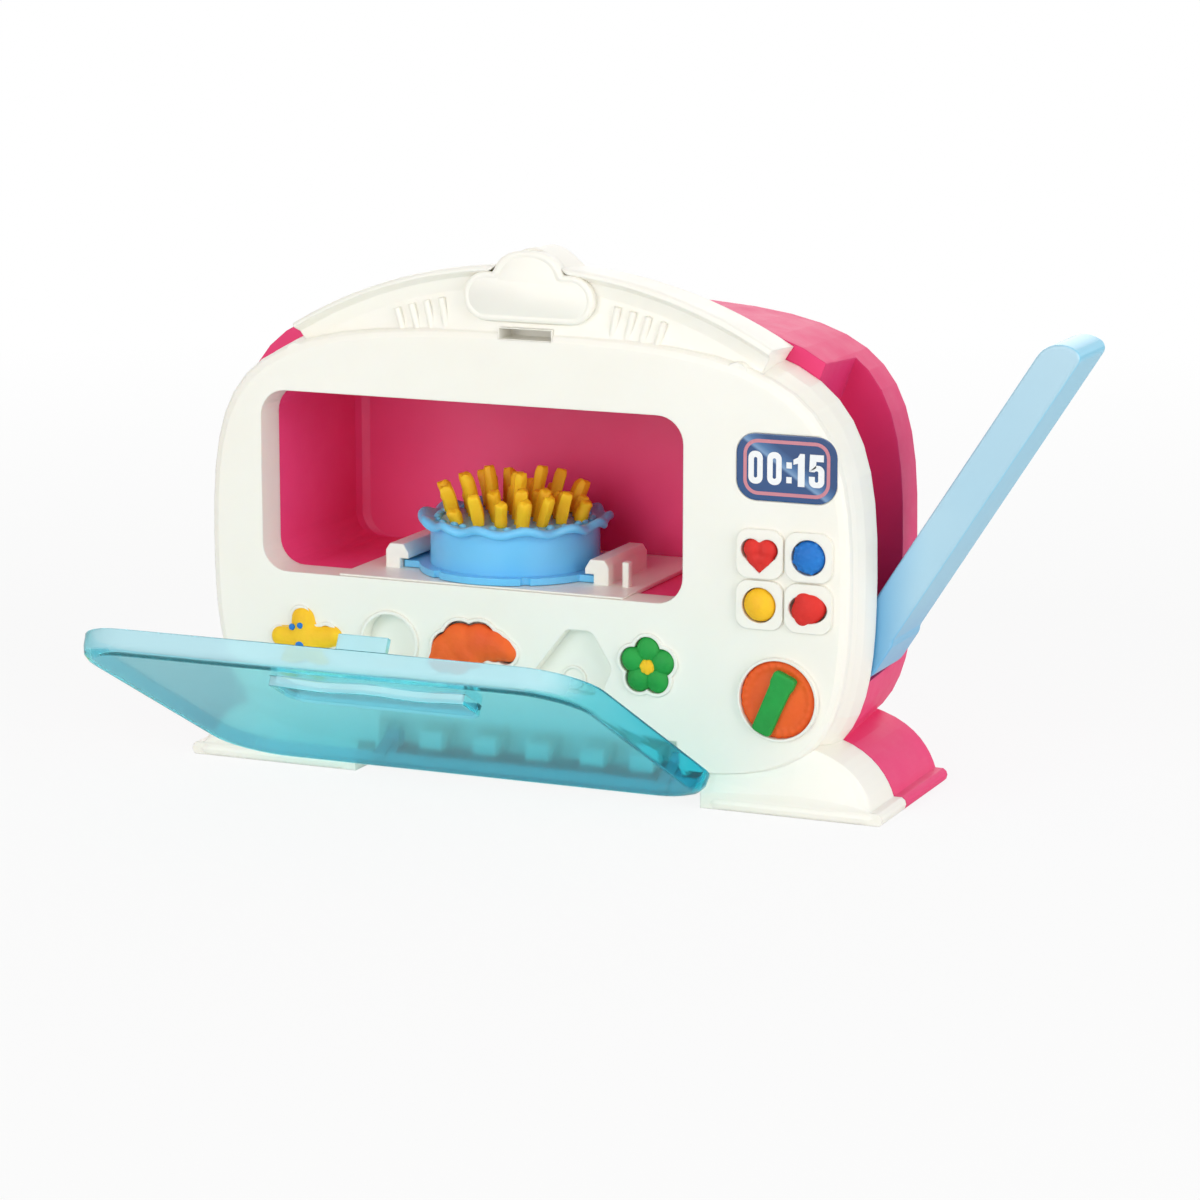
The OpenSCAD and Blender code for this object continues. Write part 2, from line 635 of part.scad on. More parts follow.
module rear_casing() color("HotPink") translate(shift) {
    skin = [[casing_y, 0], [96, 0], [99.5, 2.2], [casing_back - 1.4, 6], [casing_back, 11]];
    lip = wall + casing_rise;
    difference() {
        union() {
            difference() {
                union() {
                    loft([for (p = skin) casing_ring(p[0], p[1])]);
                    for (s = [0, 1]) mirror([s, 0, 0]) along(casing_y, foot_back)
                        polygon(foot_outline(1));
                }
                loft([casing_ring(casing_y - cut, lip), casing_ring(casing_y + wall, lip)]);
                loft([casing_ring(casing_y + wall - seat, wall), casing_ring(94, wall),
                    casing_ring(98, wall + 2.4),
                    casing_ring(casing_back - wall, wall + 7)]);
                for (s = [0, 1]) mirror([s, 0, 0]) foot_hollow(casing_y - cut, foot_back - wall);
            }
            intersection() {
                union() {
                    along(casing_y, recess_y + wall) recess_shape(wall);
                    for (p = case_screw_at) ycyl(p, boss_r, casing_y, casing_back - 0.5);
                }
                loft([for (p = skin) casing_ring(p[0] - (p[0] > 102 ? 0.02 : 0), p[1] + 0.02)]);
            }
            // Brackets of the beam's pivot
            for (y = [dish_y - beam_w / 2 - 4.2, dish_y + beam_w / 2 + 0.6])
                box([beam_x - 6, y, body_bottom + 1], [beam_x + 6, y + 3.6, beam_z + 6]);
            // Faint ribs on the rear wall of the recess
            for (z = [109, 137]) box([recess_x - 1, recess_y - 0.5, z - 0.6],
                [body_half - 5.4, recess_y + 1, z + 0.6]);
        }
        along(casing_y - cut, recess_y) recess_shape(0);
        // Slot for the toe
        box([recess_x - wall - cut, toe_y - 1, lever_z - crank_r * sin(40) - 4],
            [recess_x + cut, toe_y + toe_t + 1, lever_z + crank_r * sin(40) + 5]);
        box([recess_x - cut, toe_y - 1, lever_z - hub_r - 4],
            [lever_x - 2, toe_y + toe_t + 1, lever_z - hub_r]);
        // Seat of the lever's pin in the rear wall
        ycyl([lever_x, lever_z], lever_pin_r + 0.01, recess_y - cut, recess_y + 1.6);
        for (p = case_screw_at) {
            ycyl(p, screw_r + 0.05, cover_depth, casing_back);
            ycyl(p, head_r + 0.3, cover_depth + 8, casing_back + cut);
        }
        ycyl([beam_x, beam_z], beam_pin_r + 0.01, dish_y - beam_w / 2 - 5, dish_y + beam_w / 2 + 3);
    }
}

// Row of rounded outlines of the cavity, grown by a wall
function cavity_rings(grow, back) = [for (p = [[reveal + seat, 0, 0], [back - 5, 0, 0],
    [back - 1.5, 1.5, 1.5], [back, 5, 5]])
    flat_ring(p[0], round_rect(window_x0 - grow + p[1], window_x1 + grow - p[1], liner_z0 - grow,
        liner_z1 + grow - p[2], window_r + grow))];

module cavity_liner() color("DeepPink") translate(shift) {
    difference() {
        union() {
            loft(cavity_rings(liner_wall, cavity_back + liner_wall));
            along(reveal + seat, reveal + 2) polygon(round_rect(window_x0 - liner_flange,
                window_x1 + liner_flange,
                liner_z0 - 2, liner_z1 + liner_flange + 1, window_r + liner_flange));
            for (p = liner_screw_at) ycyl(p, head_r + 0.8, reveal + seat, reveal + 2);
        }
        loft(concat([flat_ring(reveal - cut, round_rect(window_x0, window_x1, liner_z0, liner_z1,
            window_r))],
            cavity_rings(0, cavity_back)));
        for (p = liner_screw_at) ycyl(p, screw_r + 0.05, reveal - cut, reveal + 3);
        translate([dish_x, dish_y, liner_z0 - 4]) cylinder(h = 6, r = pusher_r + 1);
        for (s = [-1, 1]) translate([dish_x + s * 14, dish_y, liner_z0 - 4]) cylinder(h = 6,
            r = screw_r + 0.05);
    }
}

module dish_tray() color("Ivory") translate(shift) {
    x0 = dish_x - 66;
    x1 = dish_x + 69;
    difference() {
        union() {
            box([x0, reveal + 0.4, liner_z0 + seat], [x1, cavity_back - 1, tray_z]);
            box([x0, cut, window_z0 + seat], [x1, reveal + cut, tray_z]);
            for (s = [-1, 1]) translate([dish_x, 0, 0]) mirror([s < 0 ? 1 : 0, 0, 0]) tray_rail();
            // Thin fin beside the right rail
            box([dish_x + 60, 22, tray_z - 1], [dish_x + 63, 26, rail_top]);
        }
        translate([dish_x, dish_y, liner_z0 - cut]) cylinder(h = 4, r = pusher_r + 0.6);
    }
}

// Rail with an inward lip that holds the dish's tongue
module tray_rail() {
    along(22, 66) polygon([[rail_half, tray_z - 1], [rail_half + 7, tray_z - 1],
        [rail_half + 7, rail_top - 3],
        [rail_half + 5, rail_top], [rail_half - 1.6, rail_top], [rail_half - 4.1, rail_top - 4],
        [rail_half - 4.1, rail_top - 6.5], [rail_half, rail_top - 6.5]]);
}

module timer_label() color("Navy") translate(shift) {
    along(0.1, 0.8 - 0.02) polygon(round_rect_at(timer_at, timer_size[0] - 0.6, timer_size[1] - 0.6,
        timer_r - 0.3));
}

module case_screws() color("Silver") translate(shift) {
    for (p = case_screw_at) {
        ycyl(p, screw_r, 16, cover_depth + 9);
        difference() {
            ycyl(p, head_r, cover_depth + 8, cover_depth + 10.4);
            cross_slot(p, cover_depth + 9.4);
        }
    }
}

module cross_slot(p, y) {
    box([p[0] - 1.8, y, p[1] - 0.4], [p[0] + 1.8, y + 4, p[1] + 0.4]);
    box([p[0] - 0.4, y, p[1] - 1.8], [p[0] + 0.4, y + 4, p[1] + 1.8]);
}

module liner_screws() color("Silver") translate(shift) {
    for (p = liner_screw_at) {
        ycyl(p, screw_r, 9, reveal + 3);
        difference() {
            ycyl(p, head_r, reveal + 2, reveal + 4);
            cross_slot(p, reveal + 3.2);
        }
    }
}

module lever_pin() color("Silver") translate(shift) {
    ycyl([lever_x, lever_z], lever_pin_r, cover_depth - 3.9, recess_y + 1.5);
}

module beam_pin() color("Silver") translate(shift) {
    ycyl([beam_x, beam_z], beam_pin_r, dish_y - beam_w / 2 - 4.1, dish_y + beam_w / 2 + 2.9);
}

module door_pin_left() color("Silver") translate(shift) {
    xcyl([hinge_y, hinge_z], door_pin_r, -bay_half - 3.9, -lug_x + lug_w - 0.5);
}

module door_pin_right() color("Silver") translate(shift) {
    xcyl([hinge_y, hinge_z], door_pin_r, lug_x - lug_w + 0.5, bay_half + 3.9);
}

// Guide of the pusher, hung under the cavity floor
module pusher_guide() color("White") translate(shift) {
    top = liner_z0 - liner_wall - seat;
    translate([dish_x, dish_y, 0]) difference() {
        union() {
            translate([0, 0, top - 16]) cylinder(h = 16, r = pusher_r + 3);
            translate([-18, -8, top - 3]) cube([36, 16, 3]);
        }
        translate([0, 0, top - 17]) cylinder(h = 18, r = pusher_r + run_gap);
        for (s = [-1, 1]) translate([s * 14, 0, top - 4]) cylinder(h = 6, r = screw_r + 0.05);
    }
}

module guide_screws() color("Silver") translate(shift) {
    for (s = [-1, 1]) translate([dish_x + s * 14, dish_y, 0]) {
        translate([0, 0, liner_z0 - liner_wall - 5]) cylinder(h = 5 + liner_wall - 0.4, r = screw_r);
        translate([0, 0, liner_z0 - liner_wall - 5.2]) cylinder(h = 2, r = head_r);
    }
}

module pusher() color("White") translate(shift) {
    foot_z = beam_z + (dish_x - beam_x) * tan(beam_rest) + beam_t / 2 + pusher_r + 0.55;
    translate([dish_x, dish_y, 0]) {
        translate([0, 0, foot_z]) cylinder(h = pusher_top - foot_z, r = pusher_r);
        translate([0, 0, foot_z]) sphere(r = pusher_r);
    }
}

// Moving sub-parts

// Extrude a flat outline (depth, up) along the width from x0 to x1
module across(x0, x1) {
    translate([x0, 0, 0]) rotate([90, 0, 90]) linear_extrude(height = x1 - x0) children();
}

// Turn children about the hinge axis
module door_turn(angle) {
    translate([0, hinge_y, hinge_z]) rotate([angle, 0, 0]) translate([0, -hinge_y, -hinge_z])
        children();
}

function door_ring(y, side, low) = flat_ring(y, round_rect(door_x - door_w / 2 + side,
    door_x + door_w / 2 - side, door_z0 + low, door_z1 - side, door_r - side * 0.6));

module door_panel() color([0.5, 0.85, 0.9, 0.6]) translate(shift) {
    y0 = door_y0;
    door_turn(door_open) difference() {
        union() {
            difference() {
                loft([door_ring(y0, door_edge[0][1], door_slope), door_ring(y0 + door_edge[1][0],
                    door_edge[1][1], door_slope * 0.72),
                    door_ring(y0 + door_edge[2][0], door_edge[2][1], door_slope * 0.42),
                    door_ring(y0 + door_edge[3][0], door_edge[3][1], door_slope * 0.14),
                        door_ring(-door_gap, 0, 0)]);
                loft([door_ring(y0 + door_wall, door_wall + 3.4, door_slope * 0.75 + 1.8),
                    door_ring(y0 + door_wall + 1, door_wall + 1.6, door_slope * 0.5 + 2),
                    door_ring(y0 + door_wall + 3, door_wall + 0.4, door_slope * 0.22 + door_wall),
                    door_ring(cut, door_wall, door_wall)]);
            }
            along(y0 - scoop_depth, y0 + 0.6) polygon(scoop_outline(0));
            // Latch tab
            box([-tab_half, -door_gap - 1, door_z1 - 3.3], [tab_half, 6, door_z1 - 0.4]);
            for (s = [-1, 1]) door_lug(s);
        }
        along(y0 - scoop_depth + 1.8, y0 + door_wall + cut) polygon(scoop_outline(1.8));
        xcyl([hinge_y, hinge_z], door_pin_r + run_gap, -lug_x - cut, lug_x + cut);
    }
}

// Finger scoop near the door's free edge: wavy above, round cornered below
function scoop_outline(low) = let(w = handle_w / 2 - low, z1 = door_z1 - 12 - low,
    z0 = door_z1 - 36 + low, r = 9 - low)
    concat([for (i = [24 : -1 : 0]) [-w + 2 * w * i / 24, z1 - 1.6 + 1.6 * cos(360 * i / 12)]],
        [for (i = [0 : 6]) [-w + r - r * cos(15 * i), z0 + r - r * sin(15 * i)]],
        [for (i = [0 : 6]) [w - r + r * sin(15 * i), z0 + r - r * cos(15 * i)]]);

// Lug from the door's lower edge back to the hinge axis
module door_lug(s) {
    x0 = s > 0 ? lug_x - lug_w : -lug_x;
    xcyl([hinge_y, hinge_z], 4.4, x0, x0 + lug_w);
    across(x0, x0 + lug_w) polygon([[hinge_y + 2, hinge_z + 2.5], [hinge_y - 2, hinge_z - 2.5],
        [-6.6, door_z0 + 0.6], [-2.6, door_z0 + 5]]);
}

// Outline of the lever when upright, about its pivot
function lever_outline() = let(h = lever_t / 2) concat(
    [for (i = [0 : 16]) [h * cos(180 + 180 * i / 16), h * sin(180 + 180 * i / 16)]],
    [[h, lever_t * 0.8], [h - lever_step, lever_t * 0.9]],
    [for (i = [0 : 6]) [h - lever_step - tip_small + tip_small * cos(15 * i),
        lever_len - tip_small + tip_small * sin(15 * i)]],
    [for (i = [0 : 9]) [-h + tip_large + tip_large * cos(90 + 10 * i),
        lever_len - tip_large + tip_large * sin(90 + 10 * i)]]);

module lever_arm() color("LightSkyBlue") translate(shift) {
    crank_at = [lever_x, lever_z] + crank_r * [-cos(toe_drop), -sin(toe_drop)];
    difference() {
        union() {
            translate([lever_x, 0, lever_z]) rotate([0, lever_rest, 0])
                along(lever_y - lever_w / 2, lever_y + lever_w / 2) polygon(lever_outline());
            along(toe_y, toe_y + toe_t) translate([lever_x, lever_z]) rotate(180 + toe_drop)
                translate([0, -toe_half]) square([crank_r, 2 * toe_half]);
            ycyl(crank_at, toe_half + 0.01, toe_y, toe_y + toe_t);
            ycyl(crank_at, crank_pin_r, dish_y - beam_w / 2 - 1.5, toe_y + cut);
        }
        ycyl([lever_x, lever_z], lever_pin_r + run_gap, lever_y - lever_w / 2 - cut,
            lever_y + lever_w / 2 + cut);
    }
}

module lift_beam() color("White") translate(shift) {
    slot = crank_pin_r + fork_play;
    riser = window_x1 + 10;
    y0 = dish_y - beam_w / 2;
    translate([beam_x, 0, beam_z]) rotate([0, -beam_rest, 0]) translate([-beam_x, 0, -beam_z])
        difference() {
        union() {
            ycyl([beam_x, beam_z], beam_t / 2 + 2, y0, y0 + beam_w);
            box([beam_x, y0, beam_z - beam_t / 2], [riser + 6, y0 + beam_w, beam_z + beam_t / 2]);
            box([riser, y0, beam_z - beam_t / 2], [riser + 6, y0 + beam_w, lever_z + slot + 4]);
            for (z = [lever_z - slot - 4, lever_z + slot]) box([riser + 5, y0, z],
                [fork_x + 14.6, y0 + beam_w, z + 4]);
        }
        ycyl([beam_x, beam_z], beam_pin_r + run_gap, y0 - cut, y0 + beam_w + cut);
    }
}

module dish_base() color("DodgerBlue") translate(shift) {
    translate([dish_x, dish_y, 0]) difference() {
        union() {
            translate([0, 0, dish_floor]) cylinder(h = flange_t, r = dish_flange_r);
            translate([-tongue_half, -18, dish_floor]) cube([2 * tongue_half, 36, flange_t]);
            translate([0, 0, dish_floor + 1]) cylinder(h = die_top - 3.2 - dish_floor - 1, r = dish_r);
        }
        translate([0, 0, dish_floor + 1]) cylinder(h = 30, r = dish_r - 2.4);
        translate([0, 0, dish_floor - cut]) cylinder(h = 6, r = pusher_r + 2);
        for (a = [60, 120, 240, 300]) rotate(a) translate([dish_flange_r, 0, dish_floor - cut])
            cylinder(h = 5, r = 2.2, $fn = 24);
    }
}

module dish_piston() color("White") translate(shift) {
    translate([dish_x, dish_y, piston_z]) cylinder(h = piston_t, r = dish_r - 3);
}

// Places of the strands in rings of six round the axis
function strand_at() = [for (i = [-3 : 3], j = [-3 : 3])
    if (abs(i + j) <= 3) [strand_pitch * (i + j / 2), strand_pitch * j * sin(60), (i - j + 9) % 3]];

module strand_shape(kind, grow) {
    if (kind == 0) circle(r = strand_r + grow, $fn = 24);
    if (kind == 1) rotate(20) square(2 * (strand_r * 0.84 + grow), center = true);
    if (kind == 2) circle(r = strand_r + grow, $fn = 6);
}

module dish_die() color("SkyBlue") translate(shift) {
    translate([dish_x, dish_y, 0]) difference() {
        union() {
            translate([0, 0, die_top - 3.1]) linear_extrude(height = ruffle_h)
                polygon([for (a = [0 : 2.25 : 357.75]) (ruffle_r + 1.4 * cos(ruffle_count * a))
                    * [cos(a), sin(a)]]);
            translate([0, 0, die_top - 6]) cylinder(h = 4, r = dish_r - 2.7);
        }
        translate([0, 0, die_top]) cylinder(h = 6, r = dish_r - 1);
        translate([0, 0, die_top - 7]) cylinder(h = 4.6, r = dish_r - 5);
        for (p = strand_at()) translate([p[0], p[1], die_top - 7]) linear_extrude(height = 12)
            strand_shape(p[2], 0.35);
    }
}

module dough_strands() color("Gold") translate(shift) {
    translate([dish_x, dish_y, 0]) for (p = strand_at()) {
        far = norm([p[0], p[1]]);
        lean = strand_lean * far;
        turn = atan2(p[1], p[0]);
        translate([p[0], p[1], die_top + strand_r * sin(lean) + 0.1]) rotate([0, 0, turn])
            rotate([0, lean, 0]) rotate([0, 0, -turn])
            linear_extrude(height = strand_len - far * strand_fall) strand_shape(p[2], 0);
    }
}

// Dough pieces in the moulds

module dough_star() color("Gold") translate(shift) {
    along(dough_low, mould_depth - 0.1) translate(star_at) star_shape(dough_gap);
}

module star_dots() color("Blue") translate(shift) {
    for (d = [[-4.6, 4, 1.6], [0.6, 4.8, 1.6], [0.4, -4.4, 2.6]])
        ycyl(star_at + [d[0], d[1]], d[2], dough_low - 0.7, dough_low - 0.02);
}

module dough_croissant() color("OrangeRed") translate(shift) {
    along(dough_low, mould_depth - 0.1) translate(croissant_at) croissant_shape(dough_gap);
}

module dough_flower() color("SeaGreen") translate(shift) {
    along(dough_low, mould_depth - 0.1) translate(flower_at) flower_shape(dough_gap);
}

module flower_centre() color("Gold") translate(shift) {
    ycyl(flower_at, flower_reach * 0.3, dough_low - 1.2, dough_low - 0.02);
}

module tile_piece(keep) {
    intersection() {
        tile_moulds(dough_gap, -tile_h + dough_low, mould_depth - 2.1);
        along(-5, 20) translate(tile_at + tile_pitch / 2 * keep) square(tile_w - 1, center = true);
    }
}

module dough_heart() color("Crimson") translate(shift) {
    tile_piece([-1, 1]);
}

module dough_ball_blue() color("RoyalBlue") translate(shift) {
    tile_piece([1, 1]);
}

module dough_ball_yellow() color("Gold") translate(shift) {
    tile_piece([-1, -1]);
}

module dough_oval_red() color("Crimson") translate(shift) {
    tile_piece([1, -1]);
}

module dial_disc() color("OrangeRed") translate(shift) {
    ycyl(dial_at, dial_r - dial_rim - 0.3, -0.9, 2.95);
}

module dial_bar() color("Green") translate(shift) {
    along(-2.1, -0.92) translate(dial_at) rotate(dial_turn) polygon(round_rect(-13.2, 13.2, -4.8,
        4.8, 3.6, 6));
}

front_cover();
badge_plate();
rear_casing();
cavity_liner();
dish_tray();
timer_label();
case_screws();
liner_screws();
lever_pin();
beam_pin();
door_pin_left();
door_pin_right();
pusher_guide();
guide_screws();
pusher();
lift_beam();
lever_arm();
door_panel();
dish_base();
dish_piston();
dish_die();
dough_strands();
dough_star();
star_dots();
dough_croissant();
dough_flower();
flower_centre();
dough_heart();
dough_ball_blue();
dough_ball_yellow();
dough_oval_red();
dial_disc();
dial_bar();
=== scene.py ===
import json
import math
import random

import bmesh
import bpy
from mathutils import Matrix, Vector


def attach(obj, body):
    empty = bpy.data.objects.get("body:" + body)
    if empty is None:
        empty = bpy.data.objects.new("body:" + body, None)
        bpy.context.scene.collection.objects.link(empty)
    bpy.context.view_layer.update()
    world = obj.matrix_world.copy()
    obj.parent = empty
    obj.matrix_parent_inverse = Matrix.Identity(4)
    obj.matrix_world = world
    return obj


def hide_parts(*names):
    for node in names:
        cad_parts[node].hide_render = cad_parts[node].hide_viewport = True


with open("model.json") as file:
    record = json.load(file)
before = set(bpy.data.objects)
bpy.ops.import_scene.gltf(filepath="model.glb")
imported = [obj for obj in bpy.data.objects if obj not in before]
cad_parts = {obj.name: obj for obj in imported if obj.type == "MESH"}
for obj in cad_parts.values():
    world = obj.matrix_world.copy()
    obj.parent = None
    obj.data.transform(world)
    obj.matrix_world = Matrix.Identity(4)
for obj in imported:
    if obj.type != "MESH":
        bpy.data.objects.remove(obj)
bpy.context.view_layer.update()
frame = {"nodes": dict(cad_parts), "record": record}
random.seed(7)
scene = bpy.context.scene

# The working frame is in millimetres: X = 0 at the latch slot, Y = 0 on the front face, Z = 0 on the floor.
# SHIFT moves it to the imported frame, which is centred on the part's box.
SHIFT = Vector((-35.38396, 29.44049, 0))

# Middle of the dish as x and y, height of its die, and middles of what the face holds as x and z
DISH = (-24, 43)
DIE_FACE = 111.5
TIMER = (119.2, 148.9)
TILES = (119, 101.3)
DIAL = (116.8, 50.4)

# Turn of the open door from closed
DOOR_TILT = math.radians(62.5)


def at(x, y, z):
    """Point of the working frame in metres of the scene."""
    return (Vector((x, y, z)) + SHIFT) / 1000


# Shader helpers


def new_material(name):
    material = bpy.data.materials.new(name)
    material.use_nodes = True
    tree = material.node_tree
    return material, tree, tree.nodes["Principled BSDF"], tree.nodes["Material Output"]


def feed(tree, target, values):
    """Give each named input of a node a constant, or link another node's output to it."""
    for key, value in values.items():
        if isinstance(value, bpy.types.NodeSocket):
            tree.links.new(value, target.inputs[key])
        else:
            target.inputs[key].default_value = value


def node(tree, kind, inputs=None, **settings):
    made = tree.nodes.new(kind)
    for key, value in settings.items():
        setattr(made, key, value)
    feed(tree, made, inputs or {})
    return made


def object_place(tree):
    return node(tree, "ShaderNodeTexCoord").outputs["Object"]


def object_normal(tree):
    return node(tree, "ShaderNodeTexCoord").outputs["Normal"]


def noise(tree, scale, detail, roughness=0.5):
    """Noise in the object's own space."""
    inputs = {"Vector": object_place(tree), "Scale": scale, "Detail": detail, "Roughness": roughness}
    return node(tree, "ShaderNodeTexNoise", inputs).outputs["Fac"]


def bump(tree, height, strength, distance):
    return node(tree, "ShaderNodeBump", {"Height": height, "Strength": strength, "Distance": distance})


def spread(tree, value, start, end, low=0.0, high=1.0, curve="LINEAR"):
    """Map start..end of a value to low..high."""
    inputs = {"Value": value, "From Min": start, "From Max": end, "To Min": low, "To Max": high}
    return node(tree, "ShaderNodeMapRange", inputs, interpolation_type=curve).outputs["Result"]


def maths(tree, operation, *values):
    return node(tree, "ShaderNodeMath", dict(enumerate(values)), operation=operation).outputs[0]


def parts_of(tree, vector):
    return node(tree, "ShaderNodeSeparateXYZ", {0: vector}).outputs


def ramp(tree, value, stops):
    """Colour ramp; each stop is a position and a colour."""
    made = node(tree, "ShaderNodeValToRGB", {"Fac": value})
    elements = made.color_ramp.elements
    elements[0].position, elements[0].color = stops[0]
    elements[1].position, elements[1].color = stops[-1]
    for position, colour in stops[1:-1]:
        elements.new(position).color = colour
    return made.outputs["Color"]


def mix_colours(tree, share, first, second):
    return node(tree, "ShaderNodeMix", {0: share, 6: first, 7: second}, data_type="RGBA").outputs[2]


def mix_shaders(tree, share, first, second):
    return node(tree, "ShaderNodeMixShader", {0: share, 1: first, 2: second}).outputs[0]


def srgb(*levels):
    """Linear colour from red, green and blue levels of 0 to 255."""
    shares = [level / 255 for level in levels]
    return (*(s / 12.92 if s <= 0.04045 else ((s + 0.055) / 1.055) ** 2.4 for s in shares), 1)


# Materials


def plastic(name, light, dark, rough=0.35, grain=1600, relief=0.06, milk=0.0, milk_reach=None, coat=0.0,
            coat_rough=0.12, mottle=14, edge=0.0, marks=(-0.05, 0.08), specular=0.5):
    """Moulded plastic: slow colour drift, fine moulded grain, handling marks in the gloss and soft edges."""
    material, tree, shader, _ = new_material(name)
    marked = noise(tree, 60.0, 6.0, 0.7)
    grained = bump(tree, noise(tree, float(grain), 2.0), relief, 0.0004)
    feed(tree, shader, {
        "Base Color": ramp(tree, noise(tree, mottle, 3.0, 0.55), [(0.3, dark), (0.7, light)]),
        "Roughness": spread(tree, marked, 0.35, 0.7, rough + marks[0], rough + marks[1]),
        "Normal": grained.outputs["Normal"],
        "Specular IOR Level": specular,
    })
    if edge:
        soft = node(tree, "ShaderNodeBevel", {"Radius": edge}, samples=6)
        feed(tree, grained, {"Normal": soft.outputs["Normal"]})
    if milk:
        feed(tree, shader, {
            "Subsurface Weight": milk,
            "Subsurface Scale": 0.004,
            "Subsurface Radius": milk_reach,
        })
    if coat:
        feed(tree, shader, {"Coat Weight": coat, "Coat Roughness": coat_rough})
    return material


def dough(name, light, dark):
    """Soft modelling dough: dull and slightly grainy, with thumbed lumps."""
    material = plastic(name, light, dark, rough=0.62, grain=900, relief=0.25, milk=0.15,
                       milk_reach=(1.0, 0.6, 0.4), mottle=60)
    tree = material.node_tree
    shader = tree.nodes["Principled BSDF"]
    grained = shader.inputs["Normal"].links[0].from_socket
    lumps = bump(tree, noise(tree, 160.0, 4.0, 0.6), 0.5, 0.0012)
    feed(tree, lumps, {"Normal": grained})
    feed(tree, shader, {"Normal": lumps.outputs["Normal"]})
    return material


def cream(name, edge=0.0):
    return plastic(name, srgb(252, 249, 240), srgb(249, 245, 234), rough=0.38, milk=0.12,
                   milk_reach=(1.0, 0.75, 0.5), edge=edge)


def ink(name, light, dark):
    """Printed ink under a clear coat."""
    return plastic(name, light, dark, rough=0.25, relief=0.0, coat=0.6)


def lever_with_painted_light():
    """Blue plastic with painted light: a whitish painted highlight on its broad front, painted shade in the
    deeper, clearer blue of its sides, and painted shade in deep blue where it dips into the shell.
    """
    # These two light blues are the whitish painted highlight of the broad front
    material = plastic("blue_lever_plastic", srgb(182, 216, 231), srgb(170, 210, 229), rough=0.3, mottle=9,
                       relief=0.01, marks=(-0.01, 0.02), coat=0.3, coat_rough=0.15)
    tree = material.node_tree
    shader = tree.nodes["Principled BSDF"]
    painted_front_highlight = shader.inputs["Base Color"].links[0].from_socket
    # Painted light by facing: the front gets the painted highlight, the sides a deeper painted shade
    front = spread(tree, parts_of(tree, object_normal(tree))["Y"], -0.2, -0.9, curve="SMOOTHSTEP")
    painted_facing_light = mix_colours(tree, front, srgb(128, 206, 236), painted_front_highlight)
    # Painted shade: deep blue towards the end that dips into the shell, its edge stirred by noise
    outwards = parts_of(tree, object_place(tree))["X"]
    drift = maths(tree, "MULTIPLY_ADD", noise(tree, 12.0, 1.0), 0.02, outwards)
    outside = spread(tree, drift, 0.102, 0.146, curve="SMOOTHSTEP")
    feed(tree, shader, {"Base Color": mix_colours(tree, outside, srgb(36, 166, 228), painted_facing_light)})
    return material


def steel():
    material, tree, shader, _ = new_material("steel_pin")
    brushed = spread(tree, noise(tree, 400.0, 3.0), 0.0, 1.0, 0.25, 0.45)
    feed(tree, shader, {"Metallic": 1.0, "Base Color": (0.62, 0.62, 0.64, 1), "Roughness": brushed})
    return material


def clear_door():
    """Tinted clear plastic with painted light: deep towards the hinge as painted shade and light at the far
    edge as a painted reflection, a whitish painted highlight on the rim, and flow marks in its gloss.
    """
    material, tree, shader, output = new_material("aqua_clear_plastic")
    place = parts_of(tree, object_place(tree))
    # Painted light across the door: deep colour towards the hinge is painted shade, light colour at the far
    # edge a painted reflection
    towards_hinge = maths(tree, "MULTIPLY_ADD", place["X"], 0.45, place["Y"])
    depth = spread(tree, towards_hinge, -0.20, 0.04, curve="SMOOTHSTEP")
    tint_with_painted_light = ramp(tree, depth, [(0.0, srgb(176, 234, 246)), (1.0, srgb(0, 196, 222))])
    # The walls that face the latch end carry a whitish painted highlight, less clear than the rest
    latch_way = (0, -math.sin(DOOR_TILT), math.cos(DOOR_TILT))
    walls = {0: object_normal(tree), 1: latch_way}
    facing = node(tree, "ShaderNodeVectorMath", walls, operation="DOT_PRODUCT")
    # milk is the share of the whitish painted rim highlight
    milk = spread(tree, facing.outputs["Value"], 0.35, 1.0, 0.0, 0.75, curve="SMOOTHSTEP")
    feed(tree, shader, {
        "IOR": 1.1,
        "Roughness": spread(tree, noise(tree, 45.0, 4.0), 0.0, 1.0, 0.05, 0.14),
        "Base Color": mix_colours(tree, milk, tint_with_painted_light, srgb(218, 240, 247)),
        "Transmission Weight": maths(tree, "MULTIPLY_ADD", milk, -0.6, 0.95),
    })
    # Shadow and diffuse rays pass almost untinted, so the door casts no blue on the cream
    rays = node(tree, "ShaderNodeLightPath").outputs
    passing = maths(tree, "MAXIMUM", rays["Is Shadow Ray"], rays["Is Diffuse Ray"])
    clear = node(tree, "ShaderNodeBsdfTransparent", {"Color": (0.97, 0.985, 0.985, 1)})
    deep = node(tree, "ShaderNodeVolumeAbsorption", {"Color": (0.0, 0.98, 0.992, 1), "Density": 60.0})
    feed(tree, output, {
        "Surface": mix_shaders(tree, passing, shader.outputs[0], clear.outputs[0]),
        "Volume": deep.outputs[0],
    })
    return material


def timer_card_print_and_glint():
    """Navy printed card with a painted highlight: a thin diagonal band of painted gloss in its colour, from
    its upper left to its lower right.
    """
    material, tree, shader, _ = new_material("timer_card_print_and_glint")
    steep = 1.5
    reach = 0.05
    middle = at(TIMER[0], 0, TIMER[1])
    centre = middle.x + steep * middle.z
    place = parts_of(tree, node(tree, "ShaderNodeNewGeometry").outputs["Position"])
    across = maths(tree, "MULTIPLY_ADD", place["Z"], steep, place["X"])
    # The light stops in the middle of the ramp are the painted highlight; the navy round them is the print
    stops = [(0.0, srgb(26, 74, 130)), (0.47, srgb(24, 72, 128)), (0.49, srgb(120, 156, 196)),
             (0.53, srgb(66, 112, 164)), (0.60, srgb(24, 68, 122)), (1.0, srgb(22, 66, 120))]
    painted_glint = ramp(tree, spread(tree, across, centre - reach, centre + reach), stops)
    feed(tree, shader, {"Base Color": painted_glint, "Roughness": 0.22, "Coat Weight": 0.6})
    return material


